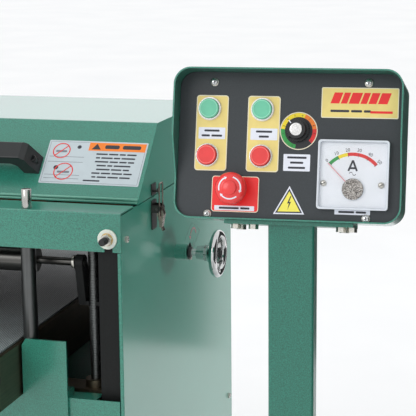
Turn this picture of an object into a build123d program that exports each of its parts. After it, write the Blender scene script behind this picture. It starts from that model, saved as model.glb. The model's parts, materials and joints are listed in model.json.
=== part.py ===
"""Twin-drum sander: cabinet, powered feed table, hinged hood and a control box on its own post.

Frame: millimetres, +X to the operator's right, -Y towards the infeed side, +Z up.
The origin is the centre of the four floor bolts, on the floor.
"""
import os
from math import cos, pi, radians, sin

from build123d import *

# ---------------------------------------------------------------- driving dimensions
HALF_W = 475                # body half width
HALF_D = 314                # body half depth
SHEET = 2                   # folded sheet metal
PANEL_T = 3                 # side panels
BASE_H = 60                 # base frame tube height
BASE_FOOT = 10              # corner plates under the base frame
BEAM_TOP = 980              # top of the front and rear beams
BEAM_H = 59
BEAM_DEPTH = 60
LOWER_PANEL_TOP = 690       # sill under the feed opening
SEAM_Z = 976                # top edge of the side panels

HOOD_BOTTOM = 977.5
HOOD_LIP = 984              # where the hood's vertical lip turns into the slope
HOOD_TOP = 1088
HOOD_FRONT = -229
HOOD_FLAT_FRONT = -127
HOOD_FLAT_REAR = 153
HOOD_REAR = 255
HINGE_Y, HINGE_Z = 261, 987
PORT_X = 68                 # dust ports, either side of the middle

DRUM_R = 76                 # with its abrasive strip
DRUM_LEN = 610
DRUM_Z = 947
DRUM_YS = (-102, 128)
SHAFT_R = 15
BELT_HALF_W = 305
TABLE_Z = 776               # upper face of the feed belt, table lowered
BELT_T = 3
FEED_ROLLER_R = 25
FEED_ROLLER_Y = 430
BED_HALF_W = 311

UPRIGHT_X = 462             # middle of the black bearing plates
SCREW_X, SCREW_Y = 406, 245
SCREW_R = 8
POST_X, POST_Y = 323.5, -303.5
PRESSURE_Z = 888.5
PRESSURE_YS = (-255, 13, 281)
PRESSURE_R = 19
FIT = 0.05                  # radial running clearance of a shaft in its hole
GAP = 0.3                   # air between neighbouring moving pieces

SLOT_X, STUD_X, STUD_Z = 455.5, 454.5, 941   # open slot in the front beam and its stud
WHEEL_Y, WHEEL_Z = -36, 860  # handwheel axis, on the right side
LATCH_Y = -156
MOTOR_Y, MOTOR_Z = 13, 300
PULLEY_X = -512             # middle of the V-belt plane
MOTOR_PULLEY_R, DRUM_PULLEY_R = 50, 59

BOX_CENTRE = (766, -494, 1119.5)
BOX_YAW, BOX_TILT = 4, 14
BOX_W, BOX_H, BOX_R = 292, 192, 22
BOX_DEPTH = 80
VISOR = 26                  # how far the upper side walls stand out past the rim
PANEL_SET = 6               # panel face behind the rim
PANEL_SHEET = 2

HOLE_X, HOLE_Y, HOLE_R = 350, 240, 6.5   # floor bolts

os.makedirs("parts", exist_ok=True)


def save(name, part):
    """Label one finished piece and write its STEP file."""
    part.label = name
    export_step(part, f"parts/{name}.step")


# ---------------------------------------------------------------- frames of the tilted control box
YAW, TILT = radians(BOX_YAW), radians(BOX_TILT)
BOX_NORMAL = (sin(YAW) * cos(TILT), -cos(YAW) * cos(TILT), sin(TILT))
BOX_X_DIR = (cos(YAW), sin(YAW), 0)
rim_plane = Plane(origin=BOX_CENTRE, x_dir=BOX_X_DIR, z_dir=BOX_NORMAL)
panel_plane = rim_plane.offset(-PANEL_SET)
side_of_box = Plane(origin=BOX_CENTRE, x_dir=rim_plane.y_dir, z_dir=rim_plane.x_dir)

SLOPE_ANGLE = radians(45.6)
slope_plane = Plane(
    origin=(0, HOOD_FRONT, HOOD_LIP), x_dir=(1, 0, 0), z_dir=(0, -sin(SLOPE_ANGLE), cos(SLOPE_ANGLE))
)

# ---------------------------------------------------------------- base and cabinet
BASE_TOP = BASE_FOOT + BASE_H
MOTOR_PLATE_Z = MOTOR_Z - 130   # underside of the motor's foot plate


def bars(z_low, z_high, rectangles):
    """Upright-sided bars between two heights; each rectangle is (x, y, width, depth)."""
    with BuildPart() as group:
        with BuildSketch(Plane.XY.offset(z_low)):
            for x, y, width, depth in rectangles:
                with Locations((x, y)):
                    Rectangle(width, depth)
        extrude(amount=z_high - z_low)
    return group.part.solids()


# the base is a welded ring of tube with seats for the lift screws, and a stand for the motor
TUBE_OUT_X, TUBE_IN_X = 468.5, 432
TUBE_OUT_Y, TUBE_IN_Y = 311, 271
TUBE_X, TUBE_Y = (TUBE_OUT_X + TUBE_IN_X) / 2, (TUBE_OUT_Y + TUBE_IN_Y) / 2
SEAT = 54
STAND_XS, STAND_YS = (-350, -190), (-70, 96)
ring_ends = [(0, y, 2 * TUBE_OUT_X, TUBE_OUT_Y - TUBE_IN_Y) for y in (-TUBE_Y, TUBE_Y)]
ring_sides = [(x, 0, TUBE_OUT_X - TUBE_IN_X, 2 * TUBE_IN_Y) for x in (-TUBE_X, TUBE_X)]
SEAT_X, SEAT_Y = TUBE_IN_X - SEAT / 2, TUBE_IN_Y - SEAT / 2
seats = [(x, y, SEAT, SEAT) for x in (-SEAT_X, SEAT_X) for y in (-SEAT_Y, SEAT_Y)]
stand_sills = [(x, 0, 36, 2 * TUBE_IN_Y) for x in STAND_XS]
stand_legs = [(x, y, 36, 40) for x in STAND_XS for y in STAND_YS]
stand_rails = [(-270, y, 240, 40) for y in STAND_YS]
with BuildPart() as foot_plates:
    with BuildSketch():
        with GridLocations(802, 522, 2, 2):
            Rectangle(134, 98)
        with GridLocations(2 * HOLE_X, 2 * HOLE_Y, 2, 2):
            Circle(HOLE_R, mode=Mode.SUBTRACT)
    extrude(amount=BASE_FOOT)
base_frame = Compound(
    bars(BASE_FOOT, BASE_TOP, ring_ends)
    + bars(BASE_FOOT, BASE_TOP, ring_sides)
    + bars(BASE_TOP - 8, BASE_TOP, seats)
    + bars(BASE_TOP - 12, BASE_TOP, stand_sills)
    + bars(BASE_TOP, MOTOR_PLATE_Z - 20, stand_legs)
    + bars(MOTOR_PLATE_Z - 20, MOTOR_PLATE_Z, stand_rails)
    + foot_plates.part.solids()
)
save("base_frame", base_frame)

PANEL_Z0 = BASE_FOOT + 20
with BuildPart() as side_panels:
    for side in (1, -1):
        with BuildSketch(Plane.YZ.offset(side * (HALF_W - PANEL_T / 2))):
            with Locations((0, (PANEL_Z0 + SEAM_Z) / 2)):
                Rectangle(2 * HALF_D - 2 * SHEET - 1, SEAM_Z - PANEL_Z0)
            if side < 0:
                with Locations(*[(y, DRUM_Z) for y in DRUM_YS], (MOTOR_Y, MOTOR_Z)):
                    Circle(22, mode=Mode.SUBTRACT)
            else:
                with Locations((WHEEL_Y, WHEEL_Z)):
                    Circle(6 + GAP, mode=Mode.SUBTRACT)
        extrude(amount=PANEL_T / 2, both=True)
        # rolled front and rear edges, below the beams
        for y_edge in (-HALF_D + 2.5, HALF_D - 2.5):
            with BuildSketch(Plane.XY.offset(PANEL_Z0)):
                with Locations((side * (HALF_W - 3), y_edge)):
                    Rectangle(6, 5)
            extrude(amount=BEAM_TOP - BEAM_H - 1 - PANEL_Z0)
    front_edges = side_panels.edges().filter_by(Axis.Z).group_by(Axis.Y)[0]
    fillet(front_edges, 1.5)
save("side_panels", side_panels.part)

for side, name in ((-1, "front_beam"), (1, "rear_beam")):
    y_face = side * HALF_D
    y_back = side * (HALF_D - BEAM_DEPTH - (0 if side < 0 else -4))
    with BuildPart() as beam:
        with BuildSketch(Plane.YZ):
            with BuildLine():
                Polyline(
                    (y_face, BEAM_TOP - BEAM_H),
                    (y_face, BEAM_TOP),
                    (y_back, BEAM_TOP),
                    (y_back, BEAM_TOP - 3.5),
                    (y_back - side * -SHEET, BEAM_TOP - 3.5),
                    (y_back - side * -SHEET, BEAM_TOP - SHEET),
                    (y_face - side * SHEET, BEAM_TOP - SHEET),
                    (y_face - side * SHEET, BEAM_TOP - BEAM_H),
                    close=True,
                )
            make_face()
        extrude(amount=HALF_W, both=True)
        outer_bend = beam.edges().filter_by(Axis.X).sort_by_distance((0, y_face, BEAM_TOP))[0]
        fillet(outer_bend, 1.6)
        if side < 0:
            # clearance holes for the tops of the two columns, and the adjuster's open slot
            with BuildSketch(Plane.XY.offset(BEAM_TOP)):
                with Locations((POST_X, POST_Y), (-POST_X, POST_Y)):
                    Circle(7.5 + GAP)
            extrude(amount=-SHEET, mode=Mode.SUBTRACT)
            with BuildSketch(Plane.XZ.offset(HALF_D)):
                with Locations((SLOT_X, (BEAM_TOP - BEAM_H + STUD_Z) / 2)):
                    Rectangle(13, STUD_Z - BEAM_TOP + BEAM_H)
                with Locations((SLOT_X, STUD_Z)):
                    Circle(6.5)
            extrude(amount=-SHEET, mode=Mode.SUBTRACT)
    save(name, beam.part)

with BuildPart() as lower_panels:
    for side in (-1, 1):
        with BuildSketch(Plane.XZ.offset(-side * (HALF_D - 1))):
            with Locations((0, (PANEL_Z0 + LOWER_PANEL_TOP) / 2)):
                Rectangle(2 * HALF_W - 14, LOWER_PANEL_TOP - PANEL_Z0)
            with Locations((0, 330)):
                with GridLocations(260, 14, 3, 5):
                    SlotOverall(150, 5, mode=Mode.SUBTRACT)
        extrude(amount=1, both=True)
        # the folded sill at the top stiffens the sheet
        with BuildSketch(Plane.XY.offset(LOWER_PANEL_TOP - SHEET)):
            with Locations((0, side * (HALF_D - 16))):
                Rectangle(860, 30)
        extrude(amount=SHEET)
save("lower_panels", lower_panels.part)

# ---------------------------------------------------------------- black bearing uprights
with BuildPart() as bearing_uprights:
    for side in (1, -1):
        with BuildSketch(Plane.XY.offset(BASE_FOOT + BASE_H)):
            with Locations((side * UPRIGHT_X, 0)):
                Rectangle(6, 580)
            for y_flange in (-295, 295):
                with Locations((side * (UPRIGHT_X - 13), y_flange)):
                    Rectangle(32, 5)
            for y_flange in (-291, 291):
                with Locations((side * UPRIGHT_X, y_flange)):
                    Rectangle(6, 6)
        extrude(amount=BEAM_TOP - 14 - BASE_FOOT - BASE_H)
        # shelves that hold the journals of the lead screws
        with BuildSketch(Plane.XY.offset(950)):
            for y in (-SCREW_Y, SCREW_Y):
                with Locations((side * 424, y)):
                    Rectangle(72, 30)
                with Locations((side * SCREW_X, y)):
                    Circle(6 + FIT, mode=Mode.SUBTRACT)
        extrude(amount=6)
    with BuildSketch(Plane.YZ.offset(HALF_W)):
        with Locations(*[(y, DRUM_Z) for y in DRUM_YS]):
            Circle(24)
        with Locations((WHEEL_Y, WHEEL_Z)):
            Circle(6 + FIT)
        with Locations((MOTOR_Y, MOTOR_Z)):
            Circle(22)
    extrude(amount=-2 * HALF_W, mode=Mode.SUBTRACT)
save("bearing_uprights", bearing_uprights.part)

with BuildPart() as drum_bearings:
    for side in (1, -1):
        for y in DRUM_YS:
            with BuildSketch(Plane.YZ.offset(side * (UPRIGHT_X - 3))):
                with Locations((y, DRUM_Z)):
                    RectangleRounded(96, 56, 12)
            extrude(amount=-side * 12)
            with BuildSketch(Plane.YZ.offset(side * (UPRIGHT_X - 3))):
                with Locations((y, DRUM_Z)):
                    Circle(29)
            extrude(amount=-side * 30)
    with BuildSketch(Plane.YZ.offset(HALF_W)):
        with Locations(*[(y, DRUM_Z) for y in DRUM_YS]):
            Circle(SHAFT_R + FIT)
    extrude(amount=-2 * HALF_W, mode=Mode.SUBTRACT)
save("drum_bearings", drum_bearings.part)

# ---------------------------------------------------------------- motor, pulleys and V-belt
with BuildPart() as motor:
    with BuildSketch(Plane.YZ.offset(-430)):
        with Locations((MOTOR_Y, MOTOR_Z)):
            Circle(90)
            Circle(11 + FIT, mode=Mode.SUBTRACT)
    extrude(amount=300)
    with BuildSketch(Plane.XY.offset(MOTOR_PLATE_Z)):
        with Locations((-280, MOTOR_Y)):
            Rectangle(220, 200)
    extrude(amount=10)
    for x_foot in (-370, -190):
        with BuildSketch(Plane.YZ.offset(x_foot - 15)):
            with Locations((MOTOR_Y, MOTOR_Z - 95)):
                Rectangle(150, 60)
            with Locations((MOTOR_Y, MOTOR_Z)):
                Circle(80, mode=Mode.SUBTRACT)
        extrude(amount=30)
    with BuildSketch(Plane.XZ.offset(-MOTOR_Y - 88)):
        with Locations((-280, MOTOR_Z + 10)):
            RectangleRounded(110, 80, 10)
    extrude(amount=-34)
save("motor", motor.part)


def pulley_profile(plane, radius, bore):
    """Half section of a single-groove V-belt pulley, whose axis is the plane's X axis."""
    with BuildSketch(plane) as profile:
        with BuildLine():
            Polyline(
                (-12, bore), (-12, radius), (-9, radius), (-4, radius - 12), (4, radius - 12),
                (9, radius), (12, radius), (12, bore), close=True,
            )
        make_face()
    return profile.sketch


def pulley_plane(y, z):
    return Plane(origin=(PULLEY_X, y, z), x_dir=(1, 0, 0), z_dir=(0, -1, 0))


# each drum is a steel tube on two webs and a shaft, with a V-belt pulley keyed on its left end
for y, name in zip(DRUM_YS, ("front_drum", "rear_drum")):
    with BuildPart() as drum:
        with BuildSketch(Plane.YZ.offset(-DRUM_LEN / 2)):
            with Locations((y, DRUM_Z)):
                Circle(DRUM_R)
                Circle(DRUM_R - 12, mode=Mode.SUBTRACT)
        extrude(amount=DRUM_LEN)
        for x_web in (-DRUM_LEN / 2 + 10, DRUM_LEN / 2 - 10 - 12):
            with BuildSketch(Plane.YZ.offset(x_web)):
                with Locations((y, DRUM_Z)):
                    Circle(DRUM_R - 11)
            extrude(amount=12)
        with BuildSketch(Plane.YZ.offset(PULLEY_X - 12)):
            with Locations((y, DRUM_Z)):
                Circle(SHAFT_R)
        extrude(amount=UPRIGHT_X + 6 - (PULLEY_X - 12))
        revolve(
            pulley_profile(pulley_plane(y, DRUM_Z), DRUM_PULLEY_R, SHAFT_R - 1),
            axis=Axis((0, y, DRUM_Z), (1, 0, 0)),
        )
    save(name, drum.part)

with BuildPart() as motor_pulley:
    revolve(
        pulley_profile(pulley_plane(MOTOR_Y, MOTOR_Z), MOTOR_PULLEY_R, 10),
        axis=Axis((0, MOTOR_Y, MOTOR_Z), (1, 0, 0)),
    )
    with BuildSketch(Plane.YZ.offset(PULLEY_X - 12)):
        with Locations((MOTOR_Y, MOTOR_Z)):
            Circle(11)
    extrude(amount=150)
save("motor_pulley", motor_pulley.part)


def belt_outline(x, inset):
    """The closed line round the two drum pulleys and the motor pulley, inset from their rims."""
    with BuildSketch(Plane.YZ.offset(x)) as outline:
        with Locations(*[(y, DRUM_Z) for y in DRUM_YS]):
            Circle(DRUM_PULLEY_R - inset)
        with Locations((MOTOR_Y, MOTOR_Z)):
            Circle(MOTOR_PULLEY_R - inset)
        make_hull()
    return outline.sketch


BELT_OUT, BELT_IN = 1, 7     # the V-belt's outer and inner line against the pulley rims
with BuildPart() as drive_belt:
    extrude(belt_outline(PULLEY_X - 3.4, BELT_OUT), amount=6.8)
    extrude(belt_outline(PULLEY_X - 3.4, BELT_IN), amount=6.8, mode=Mode.SUBTRACT)
save("drive_belt", drive_belt.part)

GUARD_OUT, GUARD_IN = -556, -477.5
with BuildPart() as belt_guard:
    extrude(belt_outline(GUARD_OUT, -22), amount=GUARD_IN - GUARD_OUT)
    fillet(belt_guard.faces().sort_by(Axis.X)[0].edges(), 8)
    offset(amount=-SHEET, openings=belt_guard.faces().sort_by(Axis.X)[-1])
save("belt_guard", belt_guard.part)

# ---------------------------------------------------------------- feed table (rides on the lift)
with BuildPart() as conveyor_bed:
    with BuildSketch(Plane.XY.offset(TABLE_Z - BELT_T - 45)):
        Rectangle(2 * BED_HALF_W - 4, 2 * (FEED_ROLLER_Y - 40))
    extrude(amount=45 - GAP)
    for side in (1, -1):
        with BuildSketch(Plane.XY.offset(TABLE_Z - 86)):
            with Locations((side * (BED_HALF_W - 2), 0)):
                Rectangle(4, 2 * (FEED_ROLLER_Y + 30))
        extrude(amount=82)
    with BuildSketch(Plane.YZ.offset(BED_HALF_W + 5)):
        with Locations(*[(y, TABLE_Z - BELT_T - FEED_ROLLER_R) for y in (-FEED_ROLLER_Y, FEED_ROLLER_Y)]):
            Circle(10 + FIT)
    extrude(amount=-2 * BED_HALF_W - 10, mode=Mode.SUBTRACT)
save("conveyor_bed", conveyor_bed.part)

with BuildPart() as conveyor_belt:
    for r, mode in ((FEED_ROLLER_R + GAP + BELT_T, Mode.ADD), (FEED_ROLLER_R + GAP, Mode.SUBTRACT)):
        with BuildSketch(Plane.YZ.offset(-BELT_HALF_W)):
            with Locations((0, TABLE_Z - BELT_T - FEED_ROLLER_R)):
                SlotCenterToCenter(2 * FEED_ROLLER_Y, 2 * r)
        extrude(amount=2 * BELT_HALF_W, mode=mode)
save("conveyor_belt", conveyor_belt.part)

FEED_Z = TABLE_Z - BELT_T - FEED_ROLLER_R
for y, name in ((-FEED_ROLLER_Y, "idler_roller"), (FEED_ROLLER_Y, "drive_roller")):
    with BuildPart() as feed_roller:
        with BuildSketch(Plane.YZ.offset(-BELT_HALF_W + 1)):
            with Locations((y, FEED_Z)):
                Circle(FEED_ROLLER_R)
        extrude(amount=2 * BELT_HALF_W - 2)
        with BuildSketch(Plane.YZ.offset(-BED_HALF_W - 12)):
            with Locations((y, FEED_Z)):
                Circle(10)
        extrude(amount=2 * BED_HALF_W + 24)
    save(name, feed_roller.part)

with BuildPart() as feed_motor:
    # gearbox and motor on the left end of the driven roller
    with BuildSketch(Plane.YZ.offset(-BED_HALF_W - 2 - GAP)):
        with Locations((FEED_ROLLER_Y, FEED_Z)):
            RectangleRounded(84, 84, 12)
            Circle(10 + FIT, mode=Mode.SUBTRACT)
    extrude(amount=-46)
    with BuildSketch(Plane.YZ.offset(-BED_HALF_W - 48)):
        with Locations((FEED_ROLLER_Y, FEED_Z)):
            Circle(38)
    extrude(amount=-106)
    fillet(feed_motor.faces().sort_by(Axis.X)[0].edges(), 8)
save("feed_motor", feed_motor.part)

BAR_Z0, BAR_T = TABLE_Z - 86 - 26, 26
with BuildPart() as table_crossbars:
    # two bars under the bed; each end carries a bronze nut on a lift screw
    for y in (-SCREW_Y, SCREW_Y):
        with BuildSketch(Plane.XY.offset(BAR_Z0)):
            with Locations((0, y)):
                Rectangle(2 * (SCREW_X + 22), 44)
        extrude(amount=BAR_T)
    with GridLocations(2 * SCREW_X, 2 * SCREW_Y, 2, 2):
        with Locations((0, 0, BAR_Z0)):
            Cylinder(SCREW_R + 9, BAR_T + 12, align=(Align.CENTER, Align.CENTER, Align.MIN))
            Cylinder(
                SCREW_R + FIT, BAR_T + 12, align=(Align.CENTER, Align.CENTER, Align.MIN), mode=Mode.SUBTRACT
            )
save("table_crossbars", table_crossbars.part)

# ---------------------------------------------------------------- lift: four screws, chain, handwheel
SPROCKET_R, CHAIN_Z = 32, 96
for name, x, y in (
    ("lift_screw_front_right", SCREW_X, -SCREW_Y),
    ("lift_screw_front_left", -SCREW_X, -SCREW_Y),
    ("lift_screw_rear_right", SCREW_X, SCREW_Y),
    ("lift_screw_rear_left", -SCREW_X, SCREW_Y),
):
    with BuildPart() as lift_screw:
        with Locations((x, y, BASE_FOOT + BASE_H + GAP)):
            Cylinder(SCREW_R, 950 - GAP - 70 - GAP, align=(Align.CENTER, Align.CENTER, Align.MIN))
        with Locations((x, y, 940)):
            Cylinder(6, 22, align=(Align.CENTER, Align.CENTER, Align.MIN))
        with BuildSketch(Plane.XY.offset(CHAIN_Z - 4)):
            with Locations((x, y)):
                Circle(SPROCKET_R)
                with PolarLocations(SPROCKET_R, 20):
                    Circle(3, mode=Mode.SUBTRACT)
        extrude(amount=8)
        with Locations((x, y, CHAIN_Z - 12)):
            Cylinder(15, 24, align=(Align.CENTER, Align.CENTER, Align.MIN))
    save(name, lift_screw.part)

with BuildPart() as lift_chain:
    for r, mode in ((SPROCKET_R + GAP + 6, Mode.ADD), (SPROCKET_R + GAP, Mode.SUBTRACT)):
        with BuildSketch(Plane.XY.offset(CHAIN_Z - 5)):
            with GridLocations(2 * SCREW_X, 2 * SCREW_Y, 2, 2):
                Circle(r)
            make_hull()
        extrude(amount=10, mode=mode)
save("lift_chain", lift_chain.part)

with BuildPart() as handwheel_tube:
    with BuildSketch(Plane.YZ.offset(HALF_W)):
        with Locations((WHEEL_Y, WHEEL_Z)):
            Circle(13)
            Circle(6 + FIT, mode=Mode.SUBTRACT)
    extrude(amount=20)
    fillet(handwheel_tube.edges().filter_by(GeomType.CIRCLE).sort_by(Axis.X)[-2:], 1)
save("handwheel_tube", handwheel_tube.part)

WHEEL_R = 39.5
with BuildPart() as handwheel:
    # hub, shallow dish and round rim, turned about the shaft
    with BuildSketch(Plane(origin=(HALF_W, WHEEL_Y, WHEEL_Z), x_dir=(1, 0, 0), z_dir=(0, -1, 0))):
        with BuildLine():
            Polyline((36, 6), (36, 11), (50, 12.5), (58, 14), (58, 20))
            Line((58, 20), (66, WHEEL_R - 11))
            Polyline((66, WHEEL_R - 11), (72, WHEEL_R - 11), (64, 20), (64, 13), (70, 11), (70, 6), (36, 6))
        make_face()
        with Locations((71, WHEEL_R - 7)):
            Circle(7)
    revolve(axis=Axis((0, WHEEL_Y, WHEEL_Z), (1, 0, 0)))
    with BuildSketch(Plane.YZ.offset(HALF_W + 56)):
        with Locations((WHEEL_Y, WHEEL_Z)):
            with PolarLocations(21.5, 4, start_angle=45):
                Circle(5.5)
    extrude(amount=18, mode=Mode.SUBTRACT)
    with BuildSketch(Plane.YZ.offset(HALF_W - 76)):
        with Locations((WHEEL_Y, WHEEL_Z)):
            Circle(6)
    extrude(amount=76 + 70)
    hub_rim = (HALF_W + 70, WHEEL_Y, WHEEL_Z + 11)
    fillet(handwheel.edges().filter_by(GeomType.CIRCLE).sort_by_distance(hub_rim)[0], 1.5)
save("handwheel", handwheel.part)

# ---------------------------------------------------------------- columns and their foot brackets
COLUMN_Z0 = LOWER_PANEL_TOP + 10
with BuildPart() as corner_columns:
    for side in (1, -1):
        with Locations((side * POST_X, POST_Y, COLUMN_Z0)):
            Cylinder(11.5, BEAM_TOP - BEAM_H - GAP - COLUMN_Z0, align=(Align.CENTER, Align.CENTER, Align.MIN))
            Cylinder(7.5, BEAM_TOP + 29 - COLUMN_Z0, align=(Align.CENTER, Align.CENTER, Align.MIN))
    chamfer(corner_columns.faces().sort_by(Axis.Z)[-2:].edges(), 0.8)
save("corner_columns", corner_columns.part)

with BuildPart() as column_brackets:
    for side in (1, -1):
        # upright plate in front of the column's foot, and the ledge that the column stands on
        with BuildSketch(Plane.XZ.offset(HALF_D + 1.5)):
            with BuildLine():
                Polyline(
                    (side * 314, LOWER_PANEL_TOP - 40), (side * 314, 770), (side * 320, 780),
                    (side * 386, 780), (side * 386, LOWER_PANEL_TOP - 40), close=True,
                )
            make_face()
        extrude(amount=4)
        with BuildSketch(Plane.XY.offset(LOWER_PANEL_TOP)):
            with Locations((side * 350, -HALF_D + 11.5)):
                Rectangle(72, 26)
        extrude(amount=10)
save("column_brackets", column_brackets.part)

# ---------------------------------------------------------------- pressure rollers
for y, name in zip(PRESSURE_YS, ("front_pressure_roller", "middle_pressure_roller", "rear_pressure_roller")):
    with BuildPart() as pressure_roller:
        with BuildSketch(Plane.YZ.offset(-318)):
            with Locations((y, PRESSURE_Z)):
                Circle(PRESSURE_R)
        extrude(amount=636)
        with BuildSketch(Plane.YZ.offset(-396)):
            with Locations((y, PRESSURE_Z)):
                Circle(6)
        extrude(amount=792)
        for side in (1, -1):
            with BuildSketch(Plane.YZ.offset(side * 378)):
                with Locations((y, PRESSURE_Z)):
                    Circle(9)
            extrude(amount=side * 3)
    save(name, pressure_roller.part)

with BuildPart() as roller_brackets:
    for side in (1, -1):
        for y in PRESSURE_YS:
            y_foot = y + (14 if y < 0 else -14 if y > 200 else 0)
            with BuildSketch(Plane.YZ.offset(side * 383)):
                with BuildLine():
                    Polyline(
                        (y - 12, PRESSURE_Z), (y + 12, PRESSURE_Z), (y_foot + 20, PRESSURE_Z - 68),
                        (y_foot - 12, PRESSURE_Z - 68), close=True,
                    )
                make_face()
                with Locations((y, PRESSURE_Z)):
                    Circle(12)
                    Circle(6 + FIT, mode=Mode.SUBTRACT)
            extrude(amount=side * 12)
            # the arm's foot reaches out to the bearing plate
            with BuildSketch(Plane.XY.offset(PRESSURE_Z - 68)):
                with Locations((side * 421, y_foot + 4)):
                    Rectangle(76, 32)
                if abs(y) > 200:
                    with Locations((side * SCREW_X, SCREW_Y if y > 0 else -SCREW_Y)):
                        Circle(SCREW_R + 2, mode=Mode.SUBTRACT)
            extrude(amount=6)
save("roller_brackets", roller_brackets.part)

# ---------------------------------------------------------------- hood and what is on it
with BuildPart() as hood:
    with BuildSketch(Plane.YZ):
        with BuildLine():
            Polyline(
                (HOOD_FRONT, HOOD_BOTTOM), (HOOD_FRONT, HOOD_LIP), (HOOD_FLAT_FRONT, HOOD_TOP),
                (HOOD_FLAT_REAR, HOOD_TOP), (HOOD_REAR, HOOD_LIP), (HOOD_REAR, HOOD_BOTTOM), close=True,
            )
        make_face()
    extrude(amount=HALF_W, both=True)
    bends = hood.edges().filter_by(Axis.X).group_by(Axis.Z)[-1]
    fillet(bends, 5)
    offset(amount=-SHEET, openings=hood.faces().sort_by(Axis.Z)[0])
    # hem along the front lip
    with BuildSketch(Plane.XY.offset(HOOD_BOTTOM)):
        with Locations((0, HOOD_FRONT - 1)):
            Rectangle(2 * HALF_W, 2)
    extrude(amount=3)
    with BuildSketch(Plane.XY.offset(HOOD_TOP)):
        with Locations((-PORT_X, 13), (PORT_X, 13)):
            Circle(48)
    extrude(amount=-SHEET, mode=Mode.SUBTRACT)
save("hood", hood.part)

with BuildPart() as dust_ports:
    with Locations((-PORT_X, 13, HOOD_TOP), (PORT_X, 13, HOOD_TOP)):
        Cylinder(66, 3, align=(Align.CENTER, Align.CENTER, Align.MIN))
        Cylinder(50, 58, align=(Align.CENTER, Align.CENTER, Align.MIN))
        Cylinder(48, 58, align=(Align.CENTER, Align.CENTER, Align.MIN), mode=Mode.SUBTRACT)
save("dust_ports", dust_ports.part)

HANDLE_X, HANDLE_S = 238, 56    # handle middle: across the hood, and up the slope from the lip
HANDLE_W = 31
with BuildPart() as hood_handles:
    for side in (1, -1):
        handle_plane = Plane(
            origin=slope_plane.from_local_coords(Vector(side * HANDLE_X, HANDLE_S, 0)),
            x_dir=(1, 0, 0), z_dir=slope_plane.y_dir,
        )
        with BuildSketch(handle_plane.offset(-HANDLE_W / 2)):
            with BuildLine():
                Polyline((-64, 0), (-50, -36), (-42, -42), (42, -42), (50, -36), (64, 0), (40, 0))
                Polyline((40, 0), (34, -19), (28, -23), (-28, -23), (-34, -19), (-40, 0), (-64, 0))
            make_face()
        extrude(amount=HANDLE_W)
    grip_edges = hood_handles.edges().filter_by(Axis.X).filter_by(lambda e: e.length > 50)
    fillet(grip_edges, 3)
save("hood_handles", hood_handles.part)

with BuildPart() as latch_keeper:
    with BuildSketch(Plane.YZ.offset(HALF_W)):
        with Locations((LATCH_Y, 988)):
            Rectangle(22, 18)
    extrude(amount=1.5)
    with BuildSketch(Plane.XZ.offset(-LATCH_Y)):
        with BuildLine():
            Polyline(
                (HALF_W + 1, 984), (HALF_W + 9.5, 984), (HALF_W + 9.5, 990), (HALF_W + 8, 990),
                (HALF_W + 8, 986), (HALF_W + 1, 986), close=True,
            )
        make_face()
    extrude(amount=6, both=True)
save("latch_keeper", latch_keeper.part)

HINGE_XS = (-330, 330)
with BuildPart() as hinge_fixed:
    for x in HINGE_XS:
        with Locations((x, HINGE_Y + 10, BEAM_TOP)):
            Box(80, 26, 2, align=(Align.CENTER, Align.CENTER, Align.MIN))
        with BuildSketch(Plane.YZ.offset(x - 13)):
            with Locations((HINGE_Y, HINGE_Z)):
                Circle(4.5)
            with Locations((HINGE_Y + 1, (BEAM_TOP + HINGE_Z) / 2)):
                Rectangle(4, HINGE_Z - BEAM_TOP)
            with Locations((HINGE_Y, HINGE_Z)):
                Circle(2.5, mode=Mode.SUBTRACT)
        extrude(amount=26)
save("hinge_fixed", hinge_fixed.part)

with BuildPart() as hinge_moving:
    for x in HINGE_XS:
        rear_slope = Plane(
            origin=(x, HOOD_REAR, HOOD_LIP), x_dir=(1, 0, 0), z_dir=(0, sin(SLOPE_ANGLE), cos(SLOPE_ANGLE))
        )
        for x_knuckle in (x - 40, x + 13.5):
            with BuildSketch(Plane.YZ.offset(x_knuckle)):
                with Locations((HINGE_Y, HINGE_Z)):
                    Circle(4.5)
                    Circle(2.5 + FIT, mode=Mode.SUBTRACT)
            extrude(amount=26.5)
            with BuildSketch(rear_slope):
                with Locations((x_knuckle - x + 13.25, -5)):
                    Rectangle(26.5, 6)
            extrude(amount=6)
        with BuildSketch(rear_slope):
            with Locations((0, -17)):
                Rectangle(80, 26)
        extrude(amount=1.5)
save("hinge_moving", hinge_moving.part)

# ---------------------------------------------------------------- draw latch on the right side
LEVER_X, LEVER_Z = HALF_W + 9, 958
BAIL_X, BAIL_Z = HALF_W + 12.5, 944
with BuildPart() as latch_plate:
    with BuildSketch(Plane.YZ.offset(HALF_W)):
        with Locations((LATCH_Y, 947.5)):
            RectangleRounded(24, 47, 3)
    extrude(amount=1.5)
with BuildPart() as latch_ears:
    # two ears stand on the plate and carry the lever's pin
    for y_ear in (LATCH_Y - 11.7, LATCH_Y + 10.2):
        with BuildSketch(Plane.XZ.offset(-y_ear - 1.5)):
            with Locations((HALF_W + 6.75, LEVER_Z)):
                Rectangle(10.5, 12)
            with Locations((LEVER_X, LEVER_Z)):
                Circle(6)
                Circle(2, mode=Mode.SUBTRACT)
        extrude(amount=1.5)
save("latch_base", Compound(latch_plate.part.solids() + latch_ears.part.solids()))

with BuildPart() as hinge_pins:
    # two pins for the hood and one for the latch lever
    for x in HINGE_XS:
        with BuildSketch(Plane.YZ.offset(x - 42)):
            with Locations((HINGE_Y, HINGE_Z)):
                Circle(2.5)
        extrude(amount=84)
    with BuildSketch(Plane.XZ.offset(-LATCH_Y)):
        with Locations((LEVER_X, LEVER_Z)):
            Circle(2)
    extrude(amount=12.5, both=True)
save("hinge_pins", hinge_pins.part)

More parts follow.
